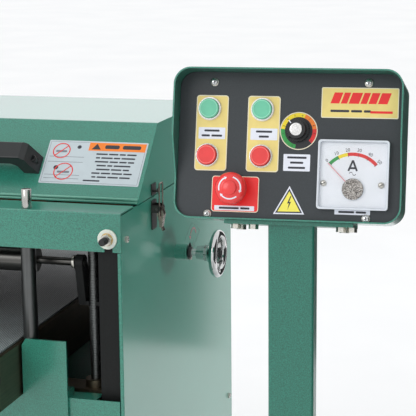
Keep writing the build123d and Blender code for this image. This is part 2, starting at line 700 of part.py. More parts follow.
with BuildPart() as latch_lever:
    # two cheeks on the pin, joined by the curved finger plate
    for y_cheek in (LATCH_Y - 6, LATCH_Y + 4.6):
        with BuildSketch(Plane.XZ.offset(-y_cheek - 1.4)):
            with BuildLine():
                Polyline(
                    (LEVER_X - 4, LEVER_Z), (LEVER_X + 4.5, LEVER_Z + 3), (HALF_W + 17, 948),
                    (HALF_W + 13, 928), (HALF_W + 11, 928), (HALF_W + 10, 938), close=True,
                )
            make_face()
            with Locations((LEVER_X, LEVER_Z)):
                Circle(4)
                Circle(2 + FIT, mode=Mode.SUBTRACT)
            with Locations((BAIL_X, BAIL_Z)):
                Circle(1.3, mode=Mode.SUBTRACT)
        extrude(amount=1.4)
    with BuildSketch(Plane.XZ.offset(-LATCH_Y)):
        with BuildLine():
            Polyline(
                (LEVER_X + 4.5, LEVER_Z + 3), (HALF_W + 17, 948), (HALF_W + 13, 928), (HALF_W + 16, 922),
                (HALF_W + 17.2, 922.6), (HALF_W + 14.6, 928.4), (HALF_W + 18.6, 948.4),
                (LEVER_X + 5.6, LEVER_Z + 4.2), close=True,
            )
        make_face()
    extrude(amount=6, both=True)
save("latch_lever", latch_lever.part)

BAIL_TOP = 998
with BuildPart() as latch_bail:
    with BuildLine() as bail_path:
        FilletPolyline(
            (BAIL_X, LATCH_Y - 4.8, BAIL_Z), (BAIL_X, LATCH_Y - 8.2, BAIL_Z), (BAIL_X, LATCH_Y - 8.2, BAIL_TOP),
            (BAIL_X, LATCH_Y + 8.2, BAIL_TOP), (BAIL_X, LATCH_Y + 8.2, BAIL_Z), (BAIL_X, LATCH_Y + 4.8, BAIL_Z),
            radius=1.8,
        )
    with BuildSketch(Plane(origin=bail_path.line @ 0, z_dir=bail_path.line % 0)):
        Circle(1.25)
    sweep()
save("latch_bail", latch_bail.part)

# ---------------------------------------------------------------- control post
POST_Z0 = 280
post_plane = Plane(origin=(771, -485, 0), x_dir=BOX_X_DIR, z_dir=(0, 0, 1))
bracket_plane = Plane(
    origin=rim_plane.from_local_coords(Vector(0, -BOX_H / 2 - GAP, -38)), x_dir=BOX_X_DIR, z_dir=rim_plane.y_dir
)
with BuildPart() as control_post:
    with BuildSketch(post_plane.offset(POST_Z0)):
        RectangleRounded(60, 33, 4)
    extrude(amount=800)
    split(bisect_by=bracket_plane.offset(-5), keep=Keep.BOTTOM)
    with BuildSketch(post_plane.offset(POST_Z0)):
        RectangleRounded(54, 27, 2)
    extrude(amount=620, mode=Mode.SUBTRACT)
    # welded head plate under the box
    with BuildSketch(bracket_plane):
        with Locations((3, 0)):
            Rectangle(166, 62)
    extrude(amount=-5)
save("control_post", control_post.part)

ARM_Y, ARM_Z = -250, 330
arm_length = ((771 - HALF_W) ** 2 + (-485 - ARM_Y) ** 2) ** 0.5
arm_dir = ((771 - HALF_W) / arm_length, (-485 - ARM_Y) / arm_length, 0)
with BuildPart() as post_arm:
    with BuildSketch(Plane(origin=(HALF_W - 30, ARM_Y + 30 * 0.794, ARM_Z), x_dir=(0, 0, 1), z_dir=arm_dir)):
        Rectangle(70, 40)
    extrude(amount=arm_length + 32)
    with Locations((HALF_W - 100, ARM_Y, ARM_Z)):
        Box(200, 400, 200, mode=Mode.SUBTRACT)
    with BuildSketch(Plane.YZ.offset(HALF_W)):
        with Locations((ARM_Y, ARM_Z)):
            RectangleRounded(110, 130, 10)
            with GridLocations(84, 104, 2, 2):
                Circle(4.5, mode=Mode.SUBTRACT)
    extrude(amount=8)
    with BuildSketch(post_plane.offset(POST_Z0)):
        Rectangle(60 + 0.4, 33 + 0.4)
        with Locations((0, -40)):
            Rectangle(160, 50)
    extrude(amount=100, mode=Mode.SUBTRACT)
    with BuildSketch(post_plane.offset(ARM_Z + 35)):
        Rectangle(84, 57)
        Rectangle(60.4, 33.4, mode=Mode.SUBTRACT)
    extrude(amount=-70)
save("post_arm", post_arm.part)

# ---------------------------------------------------------------- control box
with BuildPart() as control_box:
    with BuildSketch(rim_plane.offset(-BOX_DEPTH)):
        RectangleRounded(BOX_W, BOX_H, BOX_R)
    extrude(amount=BOX_DEPTH + VISOR)
    with BuildSketch(rim_plane.offset(-BOX_DEPTH + SHEET)):
        RectangleRounded(BOX_W - 2 * SHEET, BOX_H - 2 * SHEET, BOX_R - SHEET)
    extrude(amount=BOX_DEPTH + VISOR, mode=Mode.SUBTRACT)
    # the side walls stand out at the top and taper back to the rim below
    with BuildSketch(side_of_box.offset(-BOX_W)):
        with BuildLine():
            Polyline((-BOX_H, 0), (-42, 0), (8, VISOR), (8, 2 * VISOR), (-BOX_H, 2 * VISOR), close=True)
        make_face()
    extrude(amount=2 * BOX_W, mode=Mode.SUBTRACT)
    # corner flanges that the panel screws bite into
    with BuildSketch(panel_plane.offset(-PANEL_SHEET - 2 - GAP)):
        RectangleRounded(BOX_W - 2, BOX_H - 2, BOX_R - 1)
        RectangleRounded(BOX_W - 24, BOX_H - 24, BOX_R - 8, mode=Mode.SUBTRACT)
    extrude(amount=2)
save("control_box", control_box.part)

EDGE = 2 * SHEET + 1
BUTTON_SPOTS = ((-104, 46), (-35, 46), (-105, -14), (-35, -14))
BUTTON_R = 12.8
STOP, STOP_STEM_R = (-69, -57), 10.9
KNOB = (11, 20.5)
with BuildPart() as control_panel:
    with BuildSketch(panel_plane):
        RectangleRounded(BOX_W - EDGE, BOX_H - EDGE, BOX_R - EDGE / 2)
        with Locations(*BUTTON_SPOTS):
            Circle(BUTTON_R + 0.4, mode=Mode.SUBTRACT)
        with Locations(STOP):
            Circle(STOP_STEM_R + 0.4, mode=Mode.SUBTRACT)
        with Locations(KNOB):
            Circle(4 + FIT, mode=Mode.SUBTRACT)
    extrude(amount=-PANEL_SHEET)
save("control_panel", control_panel.part)

SCREW_HEADS = ((-99, 80.5), (100, 82), (-102, -90), (102, -90))
SIDE_SCREWS = [(y, z) for y in (-289.7, 289.7) for z in (936.6, 500, 120)]
with BuildPart() as machine_screws:
    with BuildSketch(panel_plane):
        with Locations(*SCREW_HEADS):
            Circle(4)
    extrude(amount=2.4)
    for side in (1, -1):
        with BuildSketch(Plane.YZ.offset(side * HALF_W)):
            with Locations(*SIDE_SCREWS):
                Circle(5)
        extrude(amount=side * 2.6)
    with BuildSketch(bracket_plane.offset(-5)):
        with Locations((-66, -20), (-43, -20), (70, -20), (70, 20), (-66, 20), (84, -20)):
            RegularPolygon(6.5, 6)
    extrude(amount=-6)
save("machine_screws", machine_screws.part)

PLATE_T = 0.8
with BuildPart() as legend_plates:
    with BuildSketch(panel_plane):
        for x in (-100.5, -33):
            with Locations((x, 14.7)):
                RectangleRounded(42, 97.5, 4)
        with Locations(*BUTTON_SPOTS):
            Circle(BUTTON_R + 0.5, mode=Mode.SUBTRACT)
        with Locations((89.5, 56.5)):
            RectangleRounded(98, 39, 2)
    extrude(amount=PLATE_T)
save("legend_plates", legend_plates.part)

with BuildPart() as button_bezels:
    with BuildSketch(panel_plane.offset(PLATE_T)):
        for x, y in BUTTON_SPOTS:
            with Locations((x, y)):
                Circle(14.6)
                Circle(BUTTON_R + GAP, mode=Mode.SUBTRACT)
    extrude(amount=3.2)
    fillet(button_bezels.faces().filter_by(panel_plane.offset(0)).sort_by(Axis.Y)[:4].edges(), 0.5)
save("button_bezels", button_bezels.part)

BUTTON_NAMES = ("drum_start_button", "feed_start_button", "drum_stop_button", "feed_stop_button")
for name, (x, y) in zip(BUTTON_NAMES, BUTTON_SPOTS):
    with BuildPart() as button:
        with BuildSketch(panel_plane.offset(-12)):
            with Locations((x, y)):
                Circle(BUTTON_R)
        extrude(amount=12 + 8)
        fillet(button.edges().filter_by(GeomType.CIRCLE), 1.2)
    save(name, button.part)

with BuildPart() as stop_collar:
    with BuildSketch(panel_plane):
        with Locations((-66.5, -63.5)):
            RectangleRounded(61.5, 46, 4)
        with Locations(STOP):
            Circle(STOP_STEM_R + 0.4, mode=Mode.SUBTRACT)
    extrude(amount=PLATE_T)
    with BuildSketch(panel_plane.offset(PLATE_T)):
        with Locations(STOP):
            Circle(15)
            Circle(STOP_STEM_R + 0.4, mode=Mode.SUBTRACT)
    extrude(amount=6)
save("stop_collar", stop_collar.part)

with BuildPart() as stop_mushroom:
    head = Plane(origin=panel_plane.from_local_coords(Vector(*STOP, 0)), x_dir=BOX_X_DIR, z_dir=rim_plane.y_dir)
    # stem, flared neck and domed cap, turned about the button's axis
    with BuildSketch(head):
        with BuildLine():
            Polyline((0, 28), (STOP_STEM_R, 28), (STOP_STEM_R, -12), (16, -14.4), (20.4, -17), (20.4, -21))
            ThreePointArc((20.4, -21), (17.8, -25.4), (13, -27.5))
            ThreePointArc((13, -27.5), (7.6, -29.1), (2, -29.6))
            Polyline((2, -29.6), (0, -29.6), (0, 28))
        make_face()
    revolve(axis=Axis(head.origin, BOX_NORMAL))
save("stop_mushroom", stop_mushroom.part)

with BuildPart() as speed_knob:
    with BuildSketch(panel_plane.offset(1.4)):
        with Locations(KNOB):
            Circle(15.4)
            with PolarLocations(15.4, 36):
                Circle(0.7, mode=Mode.SUBTRACT)
    extrude(amount=4)
    with BuildSketch(panel_plane.offset(5.4)):
        with Locations(KNOB):
            Circle(12)
            with PolarLocations(12, 30):
                Circle(0.6, mode=Mode.SUBTRACT)
    extrude(amount=9.6)
    with BuildSketch(panel_plane.offset(-14)):
        with Locations(KNOB):
            Circle(4)
    extrude(amount=16)
    # pointer rib towards the dial's zero
    with BuildSketch(panel_plane.offset(5)):
        with Locations((KNOB[0] - 7, KNOB[1] - 7)):
            Rectangle(8.5, 1.8, rotation=45)
    extrude(amount=10.4)
save("speed_knob", speed_knob.part)

METER = (84.5, -35.2)
with BuildPart() as ammeter_case:
    with BuildSketch(panel_plane):
        with Locations(METER):
            RectangleRounded(90, 88, 4)
    extrude(amount=9)
    with BuildSketch(panel_plane.offset(3)):
        with Locations(METER):
            RectangleRounded(85, 83, 3)
    extrude(amount=6, mode=Mode.SUBTRACT)
    with BuildSketch(panel_plane.offset(3)):
        with Locations((METER[0], METER[1] - 18)):
            Circle(14)
    extrude(amount=1.6)
    with BuildSketch(panel_plane.offset(4.6)):
        with Locations((METER[0], METER[1] - 18)):
            Circle(1.2)
    extrude(amount=2)
save("ammeter_case", ammeter_case.part)

NEEDLE_LEN = 46
with BuildPart() as ammeter_needle:
    with BuildSketch(panel_plane.offset(4.9)):
        with Locations((METER[0], METER[1] - 18)):
            Circle(4)
            with Locations((-NEEDLE_LEN / 2 * cos(pi / 4), NEEDLE_LEN / 2 * sin(pi / 4))):
                Rectangle(NEEDLE_LEN, 0.9, rotation=135)
            Circle(1.2 + FIT, mode=Mode.SUBTRACT)
    extrude(amount=0.8)
save("ammeter_needle", ammeter_needle.part)

# ---------------------------------------------------------------- adjuster in the beam's slot
with BuildPart() as slot_stud:
    with BuildSketch(Plane.XZ.offset(HALF_D - 14)):
        with Locations((STUD_X, STUD_Z)):
            Circle(5)
    extrude(amount=14 + 26)
    chamfer(slot_stud.faces().sort_by(Axis.Y)[0].edges(), 1)
save("slot_stud", slot_stud.part)

with BuildPart() as slot_washer:
    with BuildSketch(Plane.XZ.offset(HALF_D)):
        with Locations((STUD_X, STUD_Z)):
            Circle(15)
            Circle(5 + FIT, mode=Mode.SUBTRACT)
    extrude(amount=3)
    fillet(slot_washer.faces().sort_by(Axis.Y)[0].outer_wire().edges(), 1)
save("slot_washer", slot_washer.part)
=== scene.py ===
"""Looks of the twin-drum sander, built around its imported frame: finishes, labels, small parts and light."""
import json
import math

import bpy
from mathutils import Matrix, Vector


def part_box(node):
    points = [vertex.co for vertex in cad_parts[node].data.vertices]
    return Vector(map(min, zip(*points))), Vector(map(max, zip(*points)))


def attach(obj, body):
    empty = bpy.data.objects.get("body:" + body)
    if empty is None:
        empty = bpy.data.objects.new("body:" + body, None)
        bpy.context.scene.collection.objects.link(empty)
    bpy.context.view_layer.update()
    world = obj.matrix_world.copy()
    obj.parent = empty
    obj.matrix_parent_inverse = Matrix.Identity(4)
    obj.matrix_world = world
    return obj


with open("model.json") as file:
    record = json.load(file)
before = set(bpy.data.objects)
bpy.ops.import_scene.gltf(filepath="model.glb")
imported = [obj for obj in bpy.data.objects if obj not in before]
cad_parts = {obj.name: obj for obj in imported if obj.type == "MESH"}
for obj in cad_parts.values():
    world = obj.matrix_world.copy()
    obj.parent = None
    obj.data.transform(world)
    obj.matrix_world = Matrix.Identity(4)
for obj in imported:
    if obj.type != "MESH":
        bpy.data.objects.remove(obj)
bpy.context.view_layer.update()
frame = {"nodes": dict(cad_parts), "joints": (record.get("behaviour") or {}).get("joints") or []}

MM = 0.001
TURN = 2 * math.pi
X, Y, Z = (1, 0, 0), (0, 1, 0), (0, 0, 1)
SKIN = 0.25         # thickness of a printed label or sticker, mm


# ---------- finishes
class Finish:
    """One procedural material: a Principled shader, and patterns in the machine's own coordinates."""

    def __init__(self, name, roughness=0.4, metallic=0.0, **sockets):
        self.material = bpy.data.materials.new(name)
        self.material.use_nodes = True
        self.tree = self.material.node_tree
        self.shader = self.tree.nodes["Principled BSDF"]
        self.shader.inputs["Roughness"].default_value = roughness
        self.shader.inputs["Metallic"].default_value = metallic
        for socket, value in sockets.items():
            self.shader.inputs[socket.replace("_", " ")].default_value = value

    def node(self, kind, **values):
        made = self.tree.nodes.new(kind)
        for key, value in values.items():
            setattr(made, key, value)
        return made

    def link(self, output, target):
        self.tree.links.new(output, target)

    def coordinates(self, stretch=(1, 1, 1), turn=(0, 0, 0)):
        place = self.node("ShaderNodeTexCoord")
        mapping = self.node("ShaderNodeMapping")
        mapping.inputs["Scale"].default_value = stretch
        mapping.inputs["Rotation"].default_value = turn
        self.link(place.outputs["Object"], mapping.inputs["Vector"])
        return mapping.outputs["Vector"]

    def noise(self, scale, detail, stretch=(1, 1, 1)):
        made = self.node("ShaderNodeTexNoise")
        made.inputs["Scale"].default_value = scale
        made.inputs["Detail"].default_value = detail
        self.link(self.coordinates(stretch), made.inputs["Vector"])
        return made.outputs["Fac"]

    def waves(self, scale, turn):
        made = self.node("ShaderNodeTexWave", wave_type="BANDS", wave_profile="SIN")
        made.inputs["Scale"].default_value = scale
        self.link(self.coordinates(turn=turn), made.inputs["Vector"])
        return made.outputs["Fac"]

    def math(self, operation, a, b):
        made = self.node("ShaderNodeMath", operation=operation)
        for value, socket in ((a, made.inputs[0]), (b, made.inputs[1])):
            if isinstance(value, (int, float)):
                socket.default_value = value
            else:
                self.link(value, socket)
        return made.outputs[0]

    def ramp(self, factor, *stops):
        made = self.node("ShaderNodeValToRGB")
        elements = made.color_ramp.elements
        while len(elements) < len(stops):
            elements.new(0.5)
        for element, (position, colour) in zip(elements, stops):
            element.position = position
            element.color = (*colour, 1)
        self.link(factor, made.inputs["Fac"])
        return made.outputs["Color"]

    def mix(self, factor, a, b, blend="MIX"):
        made = self.node("ShaderNodeMix", data_type="RGBA", blend_type=blend)
        if isinstance(factor, float):
            made.inputs["Factor"].default_value = factor
        else:
            self.link(factor, made.inputs["Factor"])
        self.link(a, made.inputs["A"])
        self.link(b, made.inputs["B"])
        return made.outputs["Result"]

    def colour(self, output):
        self.link(output, self.shader.inputs["Base Color"])

    def rough(self, factor, low, high):
        spread = self.node("ShaderNodeMapRange")
        spread.inputs["To Min"].default_value = low
        spread.inputs["To Max"].default_value = high
        self.link(factor, spread.inputs["Value"])
        self.link(spread.outputs["Result"], self.shader.inputs["Roughness"])

    def bump(self, height, strength, distance):
        made = self.node("ShaderNodeBump")
        made.inputs["Strength"].default_value = strength
        made.inputs["Distance"].default_value = distance
        self.link(height, made.inputs["Height"])
        self.link(made.outputs["Normal"], self.shader.inputs["Normal"])


def shade(colour, factor):
    return tuple(min(1.0, c * factor) for c in colour)


def srgb(r, g, b):
    """A colour read as 0-255 screen values, made linear."""
    return tuple(((c / 255 + 0.055) / 1.055) ** 2.4 if c > 10 else c / 255 / 12.92 for c in (r, g, b))


def speckled_paint(name, colour, contrast=0.2, grain=520, roughness=(0.3, 0.42), **sockets):
    """Sprayed enamel with an orange-peel skin: fine speckle over slow drifts of tone."""
    finish = Finish(name, **sockets)
    fine = finish.noise(grain, 3)
    slow = finish.noise(4, 2)
    dark, light = shade(colour, 1 - contrast), shade(colour, 1 + contrast)
    speckle = finish.ramp(fine, (0.3, dark), (0.5, colour), (0.7, light))
    drift = finish.ramp(slow, (0.3, (0.9, 0.92, 0.92)), (0.7, (1, 1, 1)))
    finish.colour(finish.mix(1.0, speckle, drift, "MULTIPLY"))
    finish.rough(fine, *roughness)
    finish.bump(fine, 0.35, 0.00025)
    return finish.material


def brushed_metal(name, colour, stretch, roughness=(0.22, 0.4), grain=260):
    """Turned or drawn steel: streaks along one direction over faint cloudy staining."""
    finish = Finish(name, metallic=1.0)
    streaks = finish.noise(grain, 4, stretch)
    cloud = finish.noise(18, 3)
    tone = finish.ramp(streaks, (0.25, shade(colour, 0.72)), (0.75, shade(colour, 1.12)))
    stain = finish.ramp(cloud, (0.3, (0.82, 0.8, 0.77)), (0.7, (1, 1, 1)))
    finish.colour(finish.mix(1.0, tone, stain, "MULTIPLY"))
    finish.rough(streaks, *roughness)
    finish.bump(streaks, 0.12, 0.0001)
    return finish.material


def plastic(name, colour, roughness=(0.25, 0.36), grain=900, contrast=0.06, **sockets):
    """Moulded plastic: an even colour with a faint grain, and slightly cloudy gloss."""
    finish = Finish(name, **sockets)
    fine = finish.noise(grain, 2)
    dark, light = shade(colour, 1 - contrast), shade(colour, 1 + contrast)
    finish.colour(finish.ramp(finish.noise(60, 3), (0.3, dark), (0.7, light)))
    finish.rough(fine, *roughness)
    finish.bump(fine, 0.08, 0.0001)
    return finish.material


def printed(name, r, g, b, contrast=0.05):
    """Even satin colour of a label, a print or a painted needle, in 0-255 screen values."""
    return plastic(name, srgb(r, g, b), (0.4, 0.5), 900, contrast)


def woven_belt():
    """Rubber feed belt, whose top is moulded with a fine diamond tread."""
    finish = Finish("feed_belt_rubber", roughness=0.55)
    one = finish.waves(90, (0, 0, math.radians(38)))
    other = finish.waves(90, (0, 0, math.radians(-38)))
    tread = finish.math("MAXIMUM", one, other)
    dust = finish.noise(25, 4)
    rubber = finish.ramp(tread, (0.45, srgb(62, 70, 71)), (0.95, srgb(176, 188, 190)))
    worn = finish.ramp(dust, (0.35, (0.75, 0.75, 0.74)), (0.7, (1, 1, 1)))
    # painted shade: the belt is darkened under the drums, where shade falls, and lighter towards its two ends
    split = finish.node("ShaderNodeSeparateXYZ")
    finish.link(finish.coordinates(), split.inputs[0])
    ends = finish.math("ABSOLUTE", split.outputs[1], 0.0)
    painted_drum_shade = finish.ramp(ends, (0.1, (0.2, 0.2, 0.2)), (0.4, (1.0, 1.0, 1.0)))
    dusty = finish.mix(1.0, rubber, worn, "MULTIPLY")
    finish.colour(finish.mix(1.0, dusty, painted_drum_shade, "MULTIPLY"))
    finish.rough(dust, 0.45, 0.65)
    finish.bump(tread, 0.6, 0.0008)
    return finish.material


def abrasive_cloth():
    """Aluminium oxide grit on cloth: reddish brown, with light and dark grains."""
    finish = Finish("abrasive", roughness=0.85)
    grit = finish.noise(1800, 3)
    tones = ((0.3, srgb(92, 50, 36)), (0.55, srgb(140, 82, 58)), (0.75, srgb(196, 140, 108)))
    grain = finish.ramp(grit, *tones)
    dust = finish.ramp(finish.noise(12, 4), (0.35, (0.85, 0.83, 0.8)), (0.7, (1, 1, 1)))
    finish.colour(finish.mix(1.0, grain, dust, "MULTIPLY"))
    finish.bump(grit, 0.8, 0.0005)
    return finish.material


def clear_window():
    """Thin clear acrylic: see-through, and glossy towards its edges."""
    finish = Finish("clear_window", roughness=0.08)
    finish.rough(finish.noise(40, 2), 0.04, 0.1)
    through = finish.node("ShaderNodeBsdfTransparent")
    weight = finish.node("ShaderNodeFresnel")
    weight.inputs["IOR"].default_value = 1.3
    share = finish.node("ShaderNodeMixShader")
    finish.link(weight.outputs[0], share.inputs[0])
    finish.link(through.outputs[0], share.inputs[1])
    finish.link(finish.shader.outputs[0], share.inputs[2])
    output = finish.tree.nodes["Material Output"]
    finish.link(share.outputs[0], output.inputs["Surface"])
    finish.shader.inputs["Base Color"].default_value = (0.9, 0.92, 0.93, 1)
    return finish.material


green = speckled_paint("green_paint", srgb(40, 128, 108), 0.4, 760, Coat_Weight=0.85, Coat_Roughness=0.15)
post_green = speckled_paint("post_green", srgb(36, 116, 98), 0.34, 760, Coat_Weight=0.35,
                            Coat_Roughness=0.25)
# paler green for the hood's lip beads: a painted highlight
lip_highlight_green = speckled_paint("lip_highlight_green", srgb(120, 190, 168), 0.1, Coat_Weight=1.0, Coat_Roughness=0.1)
slate = speckled_paint("panel_paint", srgb(48, 54, 58), 0.16, 700, (0.42, 0.55))
black = speckled_paint("black_paint", srgb(20, 22, 22), 0.25, 300, (0.45, 0.6), Specular_IOR_Level=0.25)
steel_z = brushed_metal("machined_steel_upright", (0.14, 0.145, 0.145), (1, 1, 0.02))
steel_x = brushed_metal("machined_steel_across", (0.13, 0.13, 0.125), (0.02, 1, 1))
thread_steel = brushed_metal("screw_steel", (0.16, 0.17, 0.17), (1, 1, 1), (0.3, 0.5))
zinc = brushed_metal("zinc_plate", (0.72, 0.71, 0.66), (1, 1, 1), (0.2, 0.38), 400)
nickel = brushed_metal("worn_nickel", (0.36, 0.3, 0.26), (1, 1, 0.2), (0.18, 0.34), 300)
# a darker copy of the latch nickel for its base and keeper: painted shade
latch_shade_nickel = brushed_metal("latch_shade_nickel", (0.07, 0.07, 0.068), (1, 1, 0.2), (0.3, 0.45), 300)
chrome = brushed_metal("chrome", (0.7, 0.72, 0.73), (1, 1, 1), (0.05, 0.12), 60)
bright_ring = brushed_metal("bezel_metal", (0.96, 0.96, 0.95), (1, 1, 1), (0.12, 0.22), 500)
# a brighter copy of the column steel for the columns' tops: a painted highlight
column_top_highlight_steel = brushed_metal("column_top_highlight_steel", (0.6, 0.6, 0.58), (1, 1, 0.02), (0.15, 0.3), 400)
brass = brushed_metal("bronze", (0.62, 0.45, 0.2), (1, 1, 1), (0.25, 0.42), 300)
bed = brushed_metal("bed_steel", (0.2, 0.17, 0.12), (1, 0.03, 1), (0.35, 0.55))
chain_steel = brushed_metal("chain_steel", (0.2, 0.19, 0.18), (1, 1, 1), (0.35, 0.5), 500)
belt_rubber = woven_belt()
grit = abrasive_cloth()
roller_rubber = plastic("roller_rubber", srgb(60, 58, 56), (0.6, 0.75), 500, 0.12)
v_belt = plastic("v_belt_rubber", srgb(34, 33, 33), (0.6, 0.8), 700, 0.15)
motor_grey = speckled_paint("motor_grey", srgb(92, 98, 100), 0.14, 380, (0.4, 0.55))
black_plastic = plastic("black_plastic", srgb(25, 29, 30), (0.28, 0.42), 1200, 0.12)
soft_black = plastic("knob_black", srgb(24, 26, 27), (0.3, 0.45), 1200, 0.12)
nylon = plastic("nylon", srgb(232, 230, 218), (0.35, 0.5), 700, 0.04, Subsurface_Weight=0.15)
gold = plastic("gold_plate", srgb(240, 218, 132), (0.3, 0.42), 900, 0.05)
pale_edge = printed("pale_edge", 240, 232, 205, 0.03)
green_cap = plastic("green_plastic", srgb(108, 200, 164), (0.2, 0.3), 900, 0.05, Coat_Weight=0.3)
# paler rims on the button caps: a painted highlight
green_rim_highlight = plastic("green_rim_highlight", srgb(150, 228, 196), (0.15, 0.25), 900, 0.05, Coat_Weight=0.4)
red_rim_highlight = plastic("red_rim_highlight", srgb(255, 120, 112), (0.15, 0.25), 900, 0.05, Coat_Weight=0.4)
red_cap = plastic("red_plastic", srgb(234, 56, 56), (0.2, 0.3), 900, 0.05, Coat_Weight=0.3)
red_print = plastic("red_plate", srgb(240, 36, 36), (0.32, 0.42), 900, 0.05)
meter_shell = plastic("meter_plastic", srgb(222, 228, 235), (0.15, 0.25), 700, 0.04)
card = plastic("card_white", srgb(244, 247, 252), (0.5, 0.6), 900, 0.02)
hood_paper = printed("hood_paper", 192, 203, 208, 0.025)
label_white = printed("label_white", 232, 236, 246, 0.025)
ink = plastic("ink", srgb(46, 48, 58), (0.5, 0.6), 900, 0.08)
grey_ink = plastic("grey_ink", srgb(120, 124, 132), (0.5, 0.6), 900, 0.08)
dial_black = printed("dial_black", 30, 33, 36, 0.08)
dial_green = printed("dial_green", 46, 160, 74)
dial_yellow = printed("dial_yellow", 250, 224, 40, 0.04)
dial_orange = printed("dial_orange", 244, 130, 36)
dial_red = printed("dial_red", 228, 42, 40)
hazard_yellow = printed("hazard_yellow", 244, 234, 96, 0.04)
faint_line = printed("faint_line", 84, 112, 104)
faint_red = printed("faint_red", 150, 98, 104)
needle_red = printed("needle_red", 238, 150, 152)
window = clear_window()

NODE_FINISH = {
    green: "side_panels front_beam rear_beam lower_panels belt_guard hood column_brackets handwheel_tube "
    "base_frame control_box",
    post_green: "control_post post_arm",
    slate: "control_panel",
    black: "bearing_uprights roller_brackets drum_bearings motor",
    thread_steel: "lift_screw_front_right lift_screw_front_left lift_screw_rear_right lift_screw_rear_left",
    steel_z: "corner_columns",
    steel_x: "front_pressure_roller middle_pressure_roller rear_pressure_roller hinge_pins motor_pulley",
    zinc: "machine_screws hinge_fixed hinge_moving",
    nickel: "latch_lever latch_bail",
    latch_shade_nickel: "latch_base latch_keeper",
    chrome: "handwheel",
    bright_ring: "button_bezels",
    grit: "front_drum rear_drum",
    belt_rubber: "conveyor_belt",
    roller_rubber: "drive_roller idler_roller",
    bed: "conveyor_bed table_crossbars",
    motor_grey: "feed_motor",
    v_belt: "drive_belt",
    chain_steel: "lift_chain",
    black_plastic: "hood_handles slot_stud dust_ports",
    soft_black: "speed_knob",
    nylon: "slot_washer",
    gold: "legend_plates",
    green_cap: "drum_start_button feed_start_button",
    red_cap: "drum_stop_button feed_stop_button stop_mushroom",
    red_print: "stop_collar",
    meter_shell: "ammeter_case",
    needle_red: "ammeter_needle",
}
for finish, names in NODE_FINISH.items():
    for name in names.split():
        slots = frame["nodes"][name].data.materials
        slots.clear()
        slots.append(finish)


# ---------- places on the machine
class Place:
    """A flat frame on the machine: at(u, v, w) turns millimetres across, up and out of it into a point."""

    def __init__(self, origin, across, up):
        self.origin = Vector(origin)
        self.across = Vector(across).normalized()
        self.up = Vector(up).normalized()
        self.out = self.across.cross(self.up)

    def at(self, u, v, w=0.0):
        return self.origin + (self.across * u + self.up * v + self.out * w) * MM

    def shifted(self, u, v):
        return Place(self.at(u, v), self.across, self.up)


def new_object(name, data):
    made = bpy.data.objects.new(name, data)
    bpy.context.scene.collection.objects.link(made)
    return made


def reach(node, direction):
    """How far a CAD node reaches along a direction, in metres."""
    return max(v.co.dot(direction) for v in frame["nodes"][node].data.vertices)


def face_place(node, direction, across):
    """The place on a node's flat face that looks along a direction, with its origin in the lowest edge."""
    mesh = frame["nodes"][node].data
    look = Vector(direction).normalized()
    faces = [p for p in mesh.polygons if p.normal.dot(look) > 0.999]
    outermost = max(p.center.dot(p.normal) for p in faces)
    faces = [p for p in faces if outermost - p.center.dot(p.normal) < 0.2 * MM]
    normal = faces[0].normal.copy()
    corners = [mesh.vertices[i].co for p in faces for i in p.vertices]
    low = min(corners, key=lambda c: c.z)
    side = Vector(across)
    return Place(low - side * low.dot(side), side, normal.cross(side))


joints = {j["name"]: j for j in frame["joints"]}
KNOB_UV = (11, 20.5)                      # the speed knob, in panel millimetres from the panel's middle
knob_joint = joints["speed_knob_turn"]
panel_out = -Vector(knob_joint["axis"])
panel_across = Vector((-panel_out.y, panel_out.x, 0)).normalized()
panel = Place((0, 0, 0), panel_across, panel_out.cross(panel_across))
knob_point = Vector(knob_joint["pos_m"])
panel.origin = knob_point - (panel.across * KNOB_UV[0] + panel.up * KNOB_UV[1]) * MM
panel.origin += panel_out * (reach("control_panel", panel_out) - panel.origin.dot(panel_out))


def panel_height(node):
    """How far a CAD node stands out of the control panel, in millimetres."""
    return (reach(node, panel_out) - panel.origin.dot(panel_out)) / MM


side_low, side_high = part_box("side_panels")
hood_low, hood_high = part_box("hood")
right_side = Place((side_high.x, 0, 0), Y, Z)
left_side = Place((side_low.x, 0, 0), (0, -1, 0), Z)
SLOPE = math.radians(45.6)                # the hood's front slope against the floor
slope = face_place("hood", (0, -math.sin(SLOPE), math.cos(SLOPE)), X)


# ---------- outlines, in millimetres
def polar(radius, angle, u=0.0, v=0.0):
    """The point at a distance and an angle in radians from (u, v)."""
    return (u + radius * math.cos(angle), v + radius * math.sin(angle))


def circle(u, v, radius, count=48, start=0.0):
    return [polar(radius, start + TURN * i / count, u, v) for i in range(count)]


def rounded(u, v, width, height, radius, steps=5):
    """Rectangle with round corners."""
    points = []
    for corner, (su, sv) in enumerate(((1, 1), (-1, 1), (-1, -1), (1, -1))):
        for i in range(steps + 1):
            angle = (corner + i / steps) * TURN / 4
            centre = (u + su * (width / 2 - radius), v + sv * (height / 2 - radius))
            points.append(polar(radius, angle, *centre))
    return points


def arc(u, v, radius, start, end, count=24):
    """Points on an arc, with its angles in degrees."""
    return [polar(radius, math.radians(start + (end - start) * i / count), u, v) for i in range(count + 1)]


def box_outline(u0, v0, u1, v1):
    return [(u0, v0), (u1, v0), (u1, v1), (u0, v1)]


def stroke(start, end, width):
    """A straight line of some width."""
    (u0, v0), (u1, v1) = start, end
    length = math.hypot(u1 - u0, v1 - v0)
    du, dv = -(v1 - v0) / length * width / 2, (u1 - u0) / length * width / 2
    return [(u0 - du, v0 - dv), (u1 - du, v1 - dv), (u1 + du, v1 + dv), (u0 + du, v0 + dv)]


